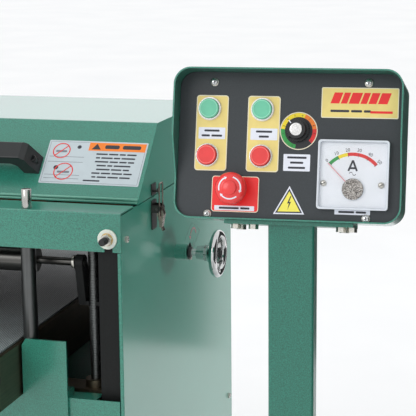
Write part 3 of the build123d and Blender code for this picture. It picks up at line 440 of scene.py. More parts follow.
class Piece:
    """Gathers faces with their finishes into one mesh. done() makes the object and rides it on a body."""

    def __init__(self, name, body, slot=None):
        self.name, self.body, self.slot = name, body, slot
        self.points, self.faces, self.finishes, self.finish_of, self.smooth = [], [], [], [], []

    def add(self, points, faces, finish, smooth=False):
        base = len(self.points)
        self.points += points
        if finish not in self.finishes:
            self.finishes.append(finish)
        for face in faces:
            self.faces.append([base + i for i in face])
            self.finish_of.append(self.finishes.index(finish))
            self.smooth.append(smooth)

    def slab(self, place, outline, low, high, finish):
        """A flat shape with some thickness."""
        n = len(outline)
        points = [place.at(u, v, w) for w in (low, high) for u, v in outline]
        faces = [[n + i for i in range(n)], list(range(n))[::-1]]
        faces += [[i, (i + 1) % n, n + (i + 1) % n, n + i] for i in range(n)]
        self.add(points, faces, finish)

    def ring(self, place, outer, inner, low, high, finish, closed=True):
        """A band between two outlines with as many points each."""
        n = len(outer)
        points = [place.at(u, v, w) for line in (outer, inner) for w in (low, high) for u, v in line]
        ol, oh, il, ih = 0, n, 2 * n, 3 * n
        faces = []
        for i in range(n if closed else n - 1):
            j = (i + 1) % n
            faces += [
                [oh + i, oh + j, ih + j, ih + i],
                [ol + j, ol + i, il + i, il + j],
                [ol + i, ol + j, oh + j, oh + i],
                [il + j, il + i, ih + i, ih + j],
            ]
        if not closed:
            e = n - 1
            faces += [[ol, oh, ih, il], [ol + e, il + e, ih + e, oh + e]]
        self.add(points, faces, finish)

    def lathe(self, place, u, v, profile, finish, count=40, smooth=True):
        """A profile of (radius, height) turned about the place's outward line through (u, v)."""
        points, rows = [], len(profile)
        for i in range(count):
            angle = TURN * i / count
            points += [place.at(*polar(radius, angle, u, v), w) for radius, w in profile]
        faces = []
        for i in range(count):
            j = (i + 1) % count
            for k in range(rows - 1):
                faces.append([i * rows + k, j * rows + k, j * rows + k + 1, i * rows + k + 1])
        faces.append([i * rows + rows - 1 for i in range(count)])
        faces.append([i * rows for i in range(count)][::-1])
        self.add(points, faces, finish, smooth)

    def text(self, place, words, u, v, size, finish, turn, height):
        """Raised figures, centred on (u, v) and turned there."""
        curve = bpy.data.curves.new(self.name + "_text", "FONT")
        curve.body, curve.size, curve.align_x, curve.align_y = words, size * MM, "CENTER", "CENTER"
        curve.extrude, curve.resolution_u = 0.05 * MM, 3
        writer = new_object(self.name + "_text", curve)
        bpy.context.view_layer.update()
        mesh = bpy.data.meshes.new_from_object(writer.evaluated_get(bpy.context.evaluated_depsgraph_get()))
        spin = Matrix.Rotation(turn, 3, "Z")
        points = []
        for vertex in mesh.vertices:
            p = spin @ vertex.co
            points.append(place.at(u + p.x / MM, v + p.y / MM, height + p.z / MM))
        self.add(points, [list(p.vertices) for p in mesh.polygons], finish)
        bpy.data.objects.remove(writer)
        bpy.data.curves.remove(curve)
        bpy.data.meshes.remove(mesh)

    def done(self, bevel=0.0):
        mesh = bpy.data.meshes.new(self.name)
        mesh.from_pydata(self.points, [], self.faces)
        for finish in self.finishes:
            mesh.materials.append(finish)
        mesh.polygons.foreach_set("material_index", self.finish_of)
        mesh.polygons.foreach_set("use_smooth", self.smooth)
        mesh.validate()
        mesh.update()
        piece = new_object(self.name, mesh)
        if bevel:
            edge = piece.modifiers.new("edge", "BEVEL")
            edge.width, edge.segments, edge.limit_method = bevel * MM, 2, "ANGLE"
        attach(piece, self.body)
        return piece


def word_bars(piece, place, u, v, rows, height, pitch, finish, low):
    """Lines of plain bars where a legend would be. Each row is a list of bar lengths, centred on u."""
    for line, lengths in enumerate(rows):
        gap = height * 0.75
        left = u - (sum(lengths) + gap * (len(lengths) - 1)) / 2
        top = v - line * pitch
        for length in lengths:
            bar = rounded(left + length / 2, top, length, height, height * 0.35, 2)
            piece.slab(place, bar, low, low + 0.1, finish)
            left += length + gap


# ---------- control panel
PLATE = 0.8                               # the metal legend plates stand this proud of the panel
TALL_PLATES, TALL_SIZE = ((-100.5, 14.7), (-33, 14.7)), (42, 97.5)
NAME_PLATE, NAME_SIZE = (89.5, 56.5), (98, 39)
STOP_PLATE, STOP_SIZE = (-66.5, -63.5), (61.5, 46)
GREEN_BUTTONS = {"drum_start_button": (-104, 46), "feed_start_button": (-35, 46)}
RED_BUTTONS = {"drum_stop_button": (-105, -14), "feed_stop_button": (-35, -14)}


def pale_border(piece, middle, size, radius, line=1.1):
    """A pale line around a plate's edge."""
    width, height = size
    outer = rounded(*middle, width, height, radius)
    inner = rounded(*middle, width - 2 * line, height - 2 * line, max(radius - line, 0.4))
    piece.ring(panel, outer, inner, PLATE, PLATE + 0.12, pale_edge)


def legend_details():
    borders = Piece("legend_borders", "cabinet", "gold_plate")
    for middle in TALL_PLATES:
        pale_border(borders, middle, TALL_SIZE, 4)
    pale_border(borders, NAME_PLATE, NAME_SIZE, 2)
    borders.done()
    labels = Piece("plate_labels", "cabinet")
    for u, rows in ((-100, ((20,), (11, 14))), (-32, ((21,), (13,)))):
        labels.slab(panel, rounded(u, 14.3, 35, 15, 0.8), PLATE, PLATE + SKIN, label_white)
        word_bars(labels, panel, u, 17.6, rows, 2.6, 6.4, ink, PLATE + SKIN)
    labels.done()
    # the name plate carries only plain bars, thick slanted ones over a thin row
    name_plate = Piece("name_plate_print", "cabinet")
    low, high, lean = -1, 13, 5
    for left, width in ((-38, 11), (-25, 8), (-15, 13), (0, 8), (10, 10), (22, 12)):
        bar = [(left, low), (left + width, low), (left + width + lean, high), (left + lean, high)]
        name_plate.slab(panel.shifted(90, 56.5), bar, PLATE, PLATE + 0.15, red_print)
    word_bars(name_plate, panel, 78, 46, ((24, 14, 9),), 3, 4, ink, PLATE)
    name_plate.slab(panel, stroke((103, 45), (131, 45), 3), PLATE, PLATE + 0.12, red_print)
    name_plate.done()


DIAL = (12.7, 19.5)
DIAL_R = 24.2
DIAL_BANDS = ((-100, -168, dial_green), (-168, -186, dial_green), (-186, -292, dial_yellow),
              (-292, -352, dial_orange), (-352, -402, dial_red))


def speed_dial():
    u, v = DIAL
    dial = Piece("speed_dial", "cabinet")
    dial.slab(panel, circle(u, v, DIAL_R), 0, 0.5, dial_black)
    dial.ring(panel, circle(u, v, DIAL_R, 64), circle(u, v, DIAL_R - 1.1, 64), 0.5, 0.75, pale_edge)
    for start, end, finish in DIAL_BANDS:
        outer = arc(u, v, DIAL_R - 1.3, start, end)
        inner = arc(u, v, DIAL_R - 6.4, start, end)
        dial.ring(panel, outer, inner, 0.5, 0.7, finish, closed=False)
    first, last = math.radians(-112), math.radians(-396)
    for number in range(11):
        angle = first + (last - first) * number / 10
        dial.text(panel, str(number), *polar(DIAL_R - 3.9, angle, u, v), 3.6, ink, angle - TURN / 4, 0.75)
    dial.done()
    label = Piece("dial_label", "cabinet")
    label.slab(panel, rounded(11.5, -21.1, 34.3, 21.6, 1), 0, SKIN, label_white)
    word_bars(label, panel, 11.5, -14.6, ((25,), (17,), (22,)), 2.6, 6.5, ink, SKIN)
    label.done()
    cap = Piece("knob_cap", "speed_knob", "chrome")
    height = panel_height("speed_knob")
    profile = [(8.4, -2.5), (8.4, -0.4), (7.9, 0.3), (6.6, 0.5), (0.4, 0.6)]
    cap.lathe(panel, *KNOB_UV, [(radius, height + w) for radius, w in profile], bright_ring)
    cap.ring(panel, circle(*KNOB_UV, 5.6), circle(*KNOB_UV, 5.1), height + 0.5, height + 0.75, zinc)
    cap.done()
    pointer = Piece("knob_pointer", "speed_knob", "nylon")
    start = (KNOB_UV[0] - 6.6, KNOB_UV[1] + 7.6)
    end = (KNOB_UV[0] - 9.4, KNOB_UV[1] + 11.2)
    pointer.slab(panel, stroke(start, end, 1.2), height - 1.4, height - 0.2, label_white)
    pointer.done()


RIM_OUT, RIM_IN = 11.6, 10.5              # the raised ring on a button's cap


def button_details():
    """A raised ring on every cap, whose paler colour is a painted highlight, and a thin pale gasket under
    every bezel.
    """
    groups = ((GREEN_BUTTONS, green_rim_highlight, "green_plastic"), (RED_BUTTONS, red_rim_highlight, "red_plastic"))
    for group, finish, slot in groups:
        for name, (u, v) in group.items():
            top = panel_height(name)
            rim = Piece(name + "_rim", name, slot)
            rim.ring(panel, circle(u, v, RIM_OUT), circle(u, v, RIM_IN), top - 0.6, top + 0.5, finish)
            rim.done(0.2)
    gasket = Piece("bezel_gaskets", "cabinet", "black_plastic")
    for u, v in (*GREEN_BUTTONS.values(), *RED_BUTTONS.values()):
        profile = [(15.4, PLATE), (15.4, PLATE + 0.5), (15.0, PLATE + 0.8), (14.0, PLATE + 0.8)]
        gasket.lathe(panel, u, v, profile, pale_edge)
    gasket.done()


STOP = (-69, -57)


def dome(radius):
    """Height of the stop button's face over the panel, at a distance from its axis."""
    shoulder, height = 13, 27.5
    if radius > shoulder:
        return height - ((radius - shoulder) / 7.4) ** 2 * 6.5
    return height + (1 - (radius / shoulder) ** 2) * 2.1


def stop_details():
    border = Piece("stop_border", "cabinet", "red_plate")
    pale_border(border, STOP_PLATE, STOP_SIZE, 4, 0.9)
    border.slab(panel, rounded(-67, -81.6, 52, 6.2, 0.8), PLATE, PLATE + SKIN, label_white)
    word_bars(border, panel, -67, -81.6, ((26, 12),), 2.6, 4, ink, PLATE + SKIN)
    border.done()
    arrows = Piece("stop_arrows", "stop_mushroom")
    u, v = STOP
    for start, end in ((195, 120), (75, -12), (-50, -135)):
        steps = 14
        points, faces = [], []
        for i in range(steps + 1):
            angle = math.radians(start + (end - start) * i / steps)
            for radius in (13.2, 14.9):
                centre = panel.at(*polar(radius, angle, u, v), dome(radius) + 0.25)
                points += [centre, centre - panel.out * 0.4 * MM]
        for i in range(steps):
            a = 4 * i
            faces += [[a, a + 4, a + 6, a + 2], [a + 1, a + 3, a + 7, a + 5],
                      [a, a + 1, a + 5, a + 4], [a + 2, a + 6, a + 7, a + 3]]
        faces += [[0, 2, 3, 1], [4 * steps, 4 * steps + 1, 4 * steps + 3, 4 * steps + 2]]
        arrows.add(points, faces, label_white)
        # arrow head at the end of each sweep
        tip = math.radians(end - 14)
        back = math.radians(end)
        head = [(14.05, tip), (16.2, back), (11.9, back)]
        low = [panel.at(*polar(r, a, u, v), dome(r) - 0.15) for r, a in head]
        high = [p + panel.out * 0.45 * MM for p in low]
        faces = [[3, 4, 5], [2, 1, 0], [0, 1, 4, 3], [1, 2, 5, 4], [2, 0, 3, 5]]
        arrows.add(low + high, faces, label_white)
    arrows.done()
    crown = Piece("stop_crown", "stop_mushroom", "red_plastic")
    crown.lathe(panel, u, v, [(9.4, 26.5), (9.4, 28.9), (8.9, 29.9), (7.6, 30.5), (0.5, 30.8)], red_cap)
    crown.done()


METER = (84.5, -35.2)
NEEDLE_V = -53.2


def meter_details():
    u, v = METER
    face = Piece("meter_card", "cabinet", "meter_plastic")
    face.slab(panel, rounded(u, v, 84, 82, 2.6), 3.05, 3.3, card)
    face.done()
    scale = Piece("meter_scale", "cabinet")
    # the scale is an arc about the needle's pivot line, flatter than the needle's own circle
    radius = 41.6
    centre = (u - 1, -6.6 - radius)
    bands = ((137.5, 118, dial_green), (118, 100, dial_yellow), (100, 41, dial_red))
    for start, end, finish in bands:
        outer = arc(*centre, radius, start, end)
        scale.ring(panel, outer, arc(*centre, radius - 4.3, start, end), 3.3, 3.45, finish, closed=False)
    for number in range(6):
        angle = math.radians(137 - 19 * number)
        tick = [polar(r, angle, *centre) for r in (radius - 5.4, radius)]
        scale.slab(panel, stroke(*tick, 0.5), 3.45, 3.52, ink)
        figure = polar(radius + 3.4, angle, *centre)
        scale.text(panel, str(10 * number), *figure, 6.0, ink, (angle - TURN / 4) * 0.8, 3.4)
    # the letter's two legs and bar, and the wave under it
    foot, bar, top = -30, -26.4, -16.6
    for start, end in (
        ((u - 6.4, foot), (u - 1, top)), ((u + 4.4, foot), (u - 1, top)), ((u - 4.6, bar), (u + 2.6, bar))
    ):
        scale.slab(panel, stroke(start, end, 2.4), 3.3, 3.45, ink)
    for wave_u, wave_v, start, end in ((u - 3, -33.4, 180, 10), (u + 1, -33.6, 190, 360)):
        outer = arc(wave_u, wave_v, 2.2, start, end, 8)
        scale.ring(panel, outer, arc(wave_u, wave_v, 1.5, start, end, 8), 3.3, 3.45, ink, False)
    scale.done()
    pivot = Piece("meter_pivot_cover", "cabinet", "meter_plastic")
    profile = [(13.6, 5.9), (13.6, 6.9), (12.9, 7.3), (11.2, 7.4)]
    profile += [(10.8, 7.0), (3.2, 7.0), (2.8, 7.5), (0.3, 7.6)]
    pivot.lathe(panel, u, NEEDLE_V, profile, speckled_cover(), 48)
    pivot.done()
    screws = Piece("meter_screws", "cabinet", "zinc_plate")
    for su, sv in ((47.2, -46.4), (120.1, -47.3)):
        profile = [(4.0, 3.3), (4.0, 4.6), (3.2, 5.4), (0.3, 5.8)]
        screws.lathe(panel, su, sv, profile, zinc, 24)
        # the screw's slot is a dark bar of painted shade
        screws.slab(panel, stroke((su - 2.8, sv - 1.2), (su + 2.8, sv + 1.2), 0.9), 5.3, 5.9, ink)
    screws.done()
    glass = Piece("meter_window", "cabinet", "meter_plastic")
    glass.slab(panel, rounded(u, v, 84.6, 82.6, 2.8), 7.9, 8.7, window)
    glass.done()
    rim = Piece("meter_rim", "cabinet", "meter_plastic")
    rim.ring(panel, rounded(u, v, 90, 88, 4), rounded(u, v, 86.4, 84.4, 2.4), 9, 9.6, meter_shell)
    rim.done(0.25)
    label = Piece("load_label", "cabinet")
    label.slab(panel, rounded(u, -82, 45, 6.6, 0.8), 0, SKIN, label_white)
    word_bars(label, panel, u, -82, ((20, 13),), 2.6, 4, ink, SKIN)
    label.done()


def speckled_cover():
    """Moulded pebble texture on the meter's pivot cover."""
    finish = Finish("pebbled_plastic", roughness=0.3)
    pebble = finish.noise(900, 1)
    tones = ((0.38, srgb(66, 62, 60)), (0.5, srgb(150, 140, 132)), (0.6, srgb(226, 222, 216)))
    finish.colour(finish.ramp(pebble, *tones))
    finish.bump(pebble, 0.6, 0.0006)
    return finish.material


def hazard_triangle():
    sign = Piece("hazard_triangle", "cabinet")
    apex, left, right = (3.6, -51), (-16.6, -87.4), (23.6, -86.8)
    middle = tuple(sum(p[k] for p in (apex, left, right)) / 3 for k in (0, 1))

    def shrunk(share):
        return [tuple(middle[k] + (p[k] - middle[k]) * share for k in (0, 1)) for p in (right, apex, left)]

    sign.slab(panel, shrunk(1), 0, SKIN, label_white)
    sign.ring(panel, shrunk(0.86), shrunk(0.72), SKIN, SKIN + 0.1, ink)
    sign.slab(panel, shrunk(0.72), SKIN, SKIN + 0.08, hazard_yellow)
    bolt = [(5.0, -64), (1.2, -73.5), (3.6, -73), (1.8, -82), (6.2, -71), (3.6, -71.6), (6.4, -64)]
    sign.slab(panel, bolt, SKIN + 0.08, SKIN + 0.2, ink)
    sign.done()


def cross_head(piece, place, u, v, base, radius, finish, turn=0.4):
    """Domed screw head whose cross recess is two dark bars of painted shade."""
    profile = ((1, 0), (1, 0.5), (0.8, 1.1), (0.25, 1.5))
    piece.lathe(place, u, v, [(radius * share, base + w) for share, w in profile], finish, 24)
    for k in range(2):
        angle = turn + k * TURN / 4
        du, dv = polar(radius * 0.55, angle)
        recess_shade = stroke((u - du, v - dv), (u + du, v + dv), radius * 0.2)
        piece.slab(place, recess_shade, base + 0.9, base + 1.56, ink)


def panel_screws():
    heads = Piece("panel_screw_heads", "cabinet", "zinc_plate")
    for turn, (u, v) in enumerate(((-99, 80.5), (100, 82), (-102, -90), (102, -90))):
        heads.lathe(panel, u, v, [(5.6, 0), (5.6, 0.5), (4.2, 0.8)], zinc, 28)
        cross_head(heads, panel, u, v, 2.4, 4.3, chrome, 0.3 + turn)
    heads.done()


legend_details()
speed_dial()
button_details()
stop_details()
meter_details()
hazard_triangle()
panel_screws()


# ---------- hood and cabinet details
def hood_label():
    """A plain safety-style label: orange band, bars for lines of print, and two red rings."""
    left, right, low, high = 305, 469, 24, 106
    label = Piece("hood_label", "hood")
    middle = ((left + right) / 2, (low + high) / 2)
    label.slab(slope, rounded(*middle, right - left, high - low, 2), 0, SKIN, hood_paper)
    outer = rounded(*middle, right - left - 5, high - low - 5, 1)
    inner = rounded(*middle, right - left - 6, high - low - 6, 0.6)
    label.ring(slope, outer, inner, SKIN, SKIN + 0.08, grey_ink)
    split = left + 68
    label.slab(slope, box_outline(split, high - 18, right - 2.5, high - 2.5), SKIN, SKIN + 0.1, dial_orange)
    sign = [(split + 5, high - 15.5), (split + 20, high - 15.5), (split + 12.5, high - 4.5)]
    label.slab(slope, sign, SKIN + 0.1, SKIN + 0.2, ink)
    word_bars(label, slope, split + 56, high - 10.2, ((24, 30),), 7, 8, ink, SKIN + 0.1)
    rows = ((22, 18, 12, 18), (8, 22, 12, 26), (26, 16, 14, 12), (18, 10, 32), (26, 20, 12),
            (16, 18, 20, 16), (8, 18, 20, 20), (32,))
    for line, row in enumerate(rows):
        shown = [w * 0.86 for w in row]
        centre = split + 48 if line < 7 else split + 18
        word_bars(label, slope, centre, high - 24 - line * 7.2, (shown,), 2.7, 7, ink, SKIN)
    for line in (0.62, 0.5, 0.2, 0.12):
        v = low + (high - low) * line
        label.slab(slope, stroke((left + 6, v), (split - 4, v), 0.8), SKIN, SKIN + 0.05, grey_ink)
    for u, v, radius in ((left + 24, high - 20, 14.5), (left + 36, low + 23, 16)):
        inner = circle(u, v, radius - 1.7)
        label.ring(slope, circle(u, v, radius), inner, SKIN + 0.1, SKIN + 0.2, dial_red)
        d = (radius - 0.8) * math.cos(TURN / 8)
        label.slab(slope, stroke((u - d, v - d), (u + d, v + d), 1.6), SKIN + 0.1, SKIN + 0.2, dial_red)
        label.slab(slope, rounded(u, v - 1, radius * 1.3, 4, 2, 3), SKIN, SKIN + 0.1, grey_ink)
    label.slab(slope, circle(left + 52, high - 12, 3.4, 20), SKIN, SKIN + 0.1, ink)
    label.slab(slope, circle(left + 22, low + 30, 4, 20), SKIN, SKIN + 0.1, ink)
    label.done()


def hood_lip():
    """Two rolled beads along the hood's front lip, which catch the light; their paler green is a painted
    highlight.
    """
    lip = Piece("hood_lip_beads", "hood", "green_paint")
    across = Place((0, hood_low.y, hood_low.z), Y, Z)
    half = hood_high.x / MM - 1.5
    for v, radius in ((2.0, 1.9), (6.6, 2.0)):
        lip.slab(across, circle(1.5, v, radius, 16), -half, half, lip_highlight_green)
    piece = lip.done()
    for polygon in piece.data.polygons:
        polygon.use_smooth = len(polygon.vertices) == 4


HANDLE_UV = (238, 56)                     # a handle's middle, across the slope and up it
HANDLE_FOOT = 55                          # its feet, either side of the middle


def handle_screws():
    """Socket screws sunk in the feet of the two hood handles."""
    heads = Piece("handle_screws", "hood", "black_plastic")
    profile = [(6.4, 4), (6.4, 19.5), (5.4, 21.5), (4.6, 21.5), (4.2, 19.5), (0.3, 19.5)]
    for side in (1, -1):
        for foot in (-HANDLE_FOOT, HANDLE_FOOT):
            heads.lathe(slope, side * HANDLE_UV[0] + foot, HANDLE_UV[1], profile, soft_black, 28)
    heads.done()


def slot_nut():
    """Washer and hex nut on the adjuster's stud, and the stud's thread."""
    stud_low, stud_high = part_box("slot_stud")
    washer_low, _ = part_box("slot_washer")
    u = (stud_low.x + stud_high.x) / 2 / MM
    v = (stud_low.z + stud_high.z) / 2 / MM
    face = Place((0, washer_low.y, 0), X, Z)
    nut = Piece("slot_nut", "cabinet", "zinc_plate")
    nut.lathe(face, u, v, [(9.6, 0), (9.6, 0.9), (9.2, 1.2), (5.2, 1.2)], brass, 36)
    hexagon = circle(u, v, 9.2, 6, 0.35)
    nut.ring(face, hexagon, circle(u, v, 5.3, 6, 0.35), 1.2, 9.0, zinc)
    nut.done(0.5)
    length = (washer_low.y - stud_low.y) / MM
    thread = Piece("slot_stud_thread", "cabinet", "black_plastic")
    w, pitch, root, crest = 9.0, 1.5, 5.0, 5.5
    profile = [(root, w)]
    while w + pitch < length - 1:
        profile += [(crest, w + 0.45), (crest, w + 0.75), (root, w + 1.2)]
        w += pitch
    end = length - 0.05
    profile += [(5.3, length - 0.9), (4.6, end), (3.0, end), (2.8, length - 2.4), (0.4, length - 2.4)]
    thread.lathe(face, u, v, profile, soft_black, 32, smooth=False)
    thread.done()


def wheel_decal():
    """Faint lozenge with a curved arrow beside the handwheel."""
    decal = Piece("wheel_decal", "cabinet")
    outer = [(8, 866), (56, 841), (105, 866), (56, 892)]
    middle = (56.5, 866.5)
    inner = [tuple(m + (p - m) * 0.955 for p, m in zip(point, middle)) for point in outer]
    decal.ring(right_side, outer, inner, 0, 0.15, faint_line)
    sweep = [arc(62, 860, radius, 20, 150) for radius in (20, 17)]
    decal.ring(right_side, *sweep, 0, 0.15, faint_red, closed=False)
    decal.slab(right_side, [(36, 871), (50, 866.5), (43, 862)], 0, 0.15, faint_red)
    decal.slab(right_side, [(58, 845), (70, 845), (64, 856)], 0, 0.15, faint_line)
    decal.done()


def wheel_shaft_details():
    """Stop collar with its pointed set screw between the tube and the hub, and knurling on the hub."""
    tube_low, tube_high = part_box("handwheel_tube")
    u = (tube_low.y + tube_high.y) / 2 / MM
    v = (tube_low.z + tube_high.z) / 2 / MM
    tube_end = Place((tube_high.x, 0, 0), Y, Z)
    collar = Piece("handwheel_collar", "handwheel", "black_plastic")
    profile = [(6.0, 0.6), (9.2, 0.6), (9.6, 1.2), (9.6, 5.4), (9.0, 6.2), (6.0, 6.2)]
    collar.lathe(tube_end, u, v, profile, soft_black, 36)
    screw = Place(tube_end.at(u, v, 3.4), Y, (-1, 0, 0))
    collar.lathe(screw, 0, 0, [(2.4, 9.0), (2.4, 11.5), (1.6, 13.6), (0.2, 17)], soft_black, 16)
    collar.lathe(screw, 0, 0, [(2.6, -12.6), (3.2, -12), (3.2, -9.6), (2.4, -9.2)], zinc, 6, smooth=False)
    collar.done()
    hub = Piece("handwheel_knurl", "handwheel", "chrome")
    ribs, hub_radius = 40, 12.7
    for k in range(ribs):
        angle = TURN * k / ribs
        rib = circle(*polar(hub_radius, angle, u, v), 0.8, 6, angle)
        hub.slab(tube_end, rib, 29.5, 36.5, chrome)
    hub.done()


def side_screw_heads():
    """Button heads over the screws that hold the side panels to the beams and base."""
    columns, heights = (-289.7, 289.7), (936.6, 500, 120)
    for place, name, sign in ((right_side, "right", 1), (left_side, "left", -1)):
        heads = Piece(f"side_screw_heads_{name}", "cabinet", "zinc_plate")
        for u in columns:
            for v in heights:
                cross_head(heads, place, sign * u, v, 2.5, 4.9, zinc, 0.6)
        heads.done()


def screw_threads():
    """A rolled thread with the lift's 4 mm pitch over each screw, cut as one helical surface."""
    pitch, count, root, crest = 4.0, 20, 8.06, 8.7
    for name in NODE_FINISH[thread_steel].split():
        low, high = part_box(name)
        bottom, top = 118.0, high.z / MM - 24
        base = Place(((low.x + high.x) / 2, (low.y + high.y) / 2, 0), X, Y)
        rows = int((top - bottom) / pitch * 4)
        profile = (root, (root + crest) / 2 + 0.15, crest, (root + crest) / 2 + 0.15)
        points, faces = [], []
        for row in range(rows + 1):
            for k in range(count):
                angle = TURN * k / count
                radius = profile[(row + (k * 4) // count) % 4]
                if row in (0, rows):
                    radius = root
                lift = bottom + row * pitch / 4 - ((k * 4 / count) % 1) * pitch / 4
                points.append(base.at(*polar(radius, angle), lift))
        for row in range(rows):
            for k in range(count):
                a, b = row * count + k, row * count + (k + 1) % count
                faces.append([a, b, b + count, a + count])
        thread = Piece(name + "_thread", name, "machined_steel")
        thread.add(points, faces, thread_steel, smooth=True)
        thread.done()


def column_tops():
    """Ends of the two columns, where they stand through the front beam, in a brighter steel that is a painted
    highlight.
    """
    low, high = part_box("corner_columns")
    tops = Piece("column_tops", "cabinet", "machined_steel")
    base = Place((0, 0, 0), X, Y)
    top = high.z / MM
    middle_y = (low.y + high.y) / 2 / MM
    for side in (1, -1):
        u = side * (high.x / MM - 11.5)
        profile = [(7.65, top - 50), (7.65, top - 0.4), (7.0, top + 0.2), (0.4, top + 0.2)]
        tops.lathe(base, u, middle_y, profile, column_top_highlight_steel, 32)
    tops.done()


def roller_collars():
    """Bright thrust collars beside the brackets on the three pressure rollers."""
    inboard, outboard = 376.5, 381.3
    for name in ("front", "middle", "rear"):
        axis = joints[name + "_pressure_roller_spin"]["pos_m"]
        place = Place((0, axis[1], axis[2]), Y, Z)
        collars = Piece(name + "_roller_collars", name + "_pressure_roller", "zinc_plate")
        for sign in (1, -1):
            near, far = sorted((sign * inboard, sign * outboard))
            profile = [(9.1, near), (10.0, near), (10.4, near + 0.6), (10.4, far - 0.6), (9.1, far)]
            collars.lathe(place, 0, 0, profile, zinc, 32)
        collars.done()


def drum_wraps():
    """Abrasive strip wound round each drum, with the narrow seam between its turns."""
    pitch, gap, steps = 84.0, 3.0, 36
    half, radius = 304.0, 76.0
    for name in ("front_drum", "rear_drum"):
        axis = joints[name + "_spin"]["pos_m"]
        place = Place((0, axis[1], axis[2]), Y, Z)
        points, faces = [], []
        turns = int((2 * half + pitch) / pitch * steps) + steps
        for i in range(turns + 1):
            angle = TURN * i / steps
            start = -half - pitch + pitch * i / steps
            for w in (start, start + pitch - gap):
                w = min(max(w, -half), half)
                for r in (radius - 0.1, radius + 0.7):
                    points.append(place.at(*polar(r, angle), w))
        for i in range(turns):
            a, b = 4 * i, 4 * i + 4
            if (points[a] - points[a + 2]).length < 1e-6 and (points[b] - points[b + 2]).length < 1e-6:
                continue
            faces += [[a + 1, b + 1, b + 3, a + 3], [a, b, b + 1, a + 1], [a + 2, a + 3, b + 3, b + 2]]
        wrap = Piece(name + "_abrasive", name, "abrasive")
        wrap.add(points, faces, grit, smooth=True)
        wrap.done()


def motor_fins():
    """Cooling fins along the drum motor, and its domed fan cover, whose slots are dark bars of painted shade.
    """
    axis = joints["motor_spin"]["pos_m"]
    low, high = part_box("motor")
    place = Place((low.x, axis[1], axis[2]), Y, Z)
    length = (high.x - low.x) / MM
    fins = Piece("motor_fins", "cabinet", "motor_grey")
    fin_count, slot_count = 48, 24
    for k in range(fin_count):
        angle = TURN * k / fin_count
        if math.sin(angle) < -0.55:      # the foot is there
            continue
        fins.slab(place, stroke(polar(89, angle), polar(97, angle), 2.2), 28, length - 58, motor_grey)
    fins.done()
    cover = Piece("motor_fan_cover", "cabinet", "motor_grey")
    profile = [(93, length - 50), (93.5, length - 6), (90, length + 1), (60, length + 4), (58, length + 4)]
    cover.lathe(place, 0, 0, profile, motor_grey, 56)
    for k in range(slot_count):
        angle = TURN * k / slot_count
        # each slot is a dark bar of painted shade on the cover
        slot = stroke(polar(20, angle), polar(54, angle), 3)
        cover.slab(place, slot, length + 3.2, length + 4.6, soft_black)
    cover.done()


hood_label()
hood_lip()
handle_screws()
slot_nut()
wheel_decal()
wheel_shaft_details()
side_screw_heads()
screw_threads()
column_tops()
roller_collars()
drum_wraps()
motor_fins()


# ---------- floor, light and camera
def studio_mesh(name, points, faces, finish):
    """A mesh of the studio, which is no part of the machine."""
    mesh = bpy.data.meshes.new(name)
    mesh.from_pydata(points, [], faces)
    mesh.materials.append(finish.material)
    return new_object(name, mesh)


def studio_floor():
    """A wide, plain, pale floor."""
    finish = Finish("studio_floor", roughness=0.7)
    tone = finish.noise(1.5, 3)
    finish.colour(finish.ramp(tone, (0.3, (0.9, 0.905, 0.91)), (0.7, (0.94, 0.94, 0.94))))
    finish.rough(tone, 0.6, 0.75)
    half = 60
    corners = [(-half, -half, 0), (half, -half, 0), (half, half, 0), (-half, half, 0)]
    floor = studio_mesh("studio_floor", corners, [[0, 1, 2, 3]], finish)


def dark_flag():
    """Matt dark screens at the right and the right rear, which the glossy side panels mirror."""
    finish = Finish("studio_flag", roughness=0.9)
    finish.colour(finish.ramp(finish.noise(3, 2), (0.3, (0.02, 0.022, 0.022)), (0.7, (0.03, 0.032, 0.032))))
    rear = [(0.78, 1.2, 0.3), (2.0, 1.2, 0.3), (2.0, 1.2, 1.5), (0.78, 1.2, 1.5)]
    side = [(1.75, 0.55, 0.25), (1.75, -1.5, 0.25), (1.75, -1.5, 2.0), (1.75, 0.55, 2.0)]
    flag = studio_mesh("studio_flag", rear + side, [[0, 1, 2, 3], [4, 5, 6, 7]], finish)
    flag.visible_camera = False


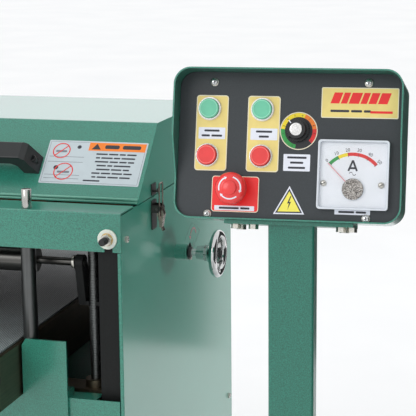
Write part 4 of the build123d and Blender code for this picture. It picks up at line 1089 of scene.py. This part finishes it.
def softbox(name, place, target, size, power, colour=(1, 1, 1), mirrored=True):
    lamp = bpy.data.lights.new(name, "AREA")
    lamp.shape, lamp.size, lamp.size_y = "RECTANGLE", size[0], size[1]
    lamp.energy, lamp.color = power, colour
    made = new_object(name, lamp)
    made.location = place
    made.rotation_euler = (Vector(target) - Vector(place)).to_track_quat("-Z", "Y").to_euler()
    made.visible_glossy = mirrored


def studio_light():
    world = bpy.data.worlds.new("studio")
    world.use_nodes = True
    sky = world.node_tree.nodes["Background"]
    sky.inputs["Color"].default_value = (0.985, 0.992, 1, 1)
    sky.inputs["Strength"].default_value = 1.05
    bpy.context.scene.world = world
    softbox("key_right_rear", (3.1, 1.64, 0.42), (0.5, 0.1, 0.6), (0.3, 0.3), 46, (1.0, 0.96, 0.97), False)
    softbox("front_left", (-1.2, -3.6, 2.6), (0.2, 0, 0.9), (2.0, 1.6), 26)
    softbox("behind_hood", (-1.0, 3.4, 2.1), (0.1, 0, 1.09), (3.4, 1.2), 4, (0.85, 0.93, 1.0))
    bpy.context.scene.view_settings.view_transform = "Standard"


CAMERA_AZIMUTH, CAMERA_ELEVATION, CAMERA_ROLL = 15.834, 11.578, -0.542    # degrees
CAMERA_PLACE = (1.16148, -2.26272, 1.41016)
CAMERA_LENS, SENSOR = 124.545, 36


def main_camera():
    """A long lens from the front right and above, aimed at the hood's end and the control box."""
    azimuth, elevation, roll = (math.radians(a) for a in (CAMERA_AZIMUTH, CAMERA_ELEVATION, CAMERA_ROLL))
    right = Vector((math.cos(azimuth), math.sin(azimuth), 0))
    flat = math.cos(elevation)
    back = Vector((math.sin(azimuth) * flat, -math.cos(azimuth) * flat, math.sin(elevation)))
    up = back.cross(right)
    turned_right = right * math.cos(roll) + up * math.sin(roll)
    turned_up = up * math.cos(roll) - right * math.sin(roll)
    lens = bpy.data.cameras.new("camera")
    lens.lens, lens.sensor_width, lens.clip_end = CAMERA_LENS, SENSOR, 200
    camera = new_object("camera", lens)
    axes = Matrix((turned_right, turned_up, back)).transposed()
    camera.matrix_world = Matrix.Translation(CAMERA_PLACE) @ axes.to_4x4()
    bpy.context.scene.camera = camera


studio_floor()
dark_flag()
studio_light()
main_camera()
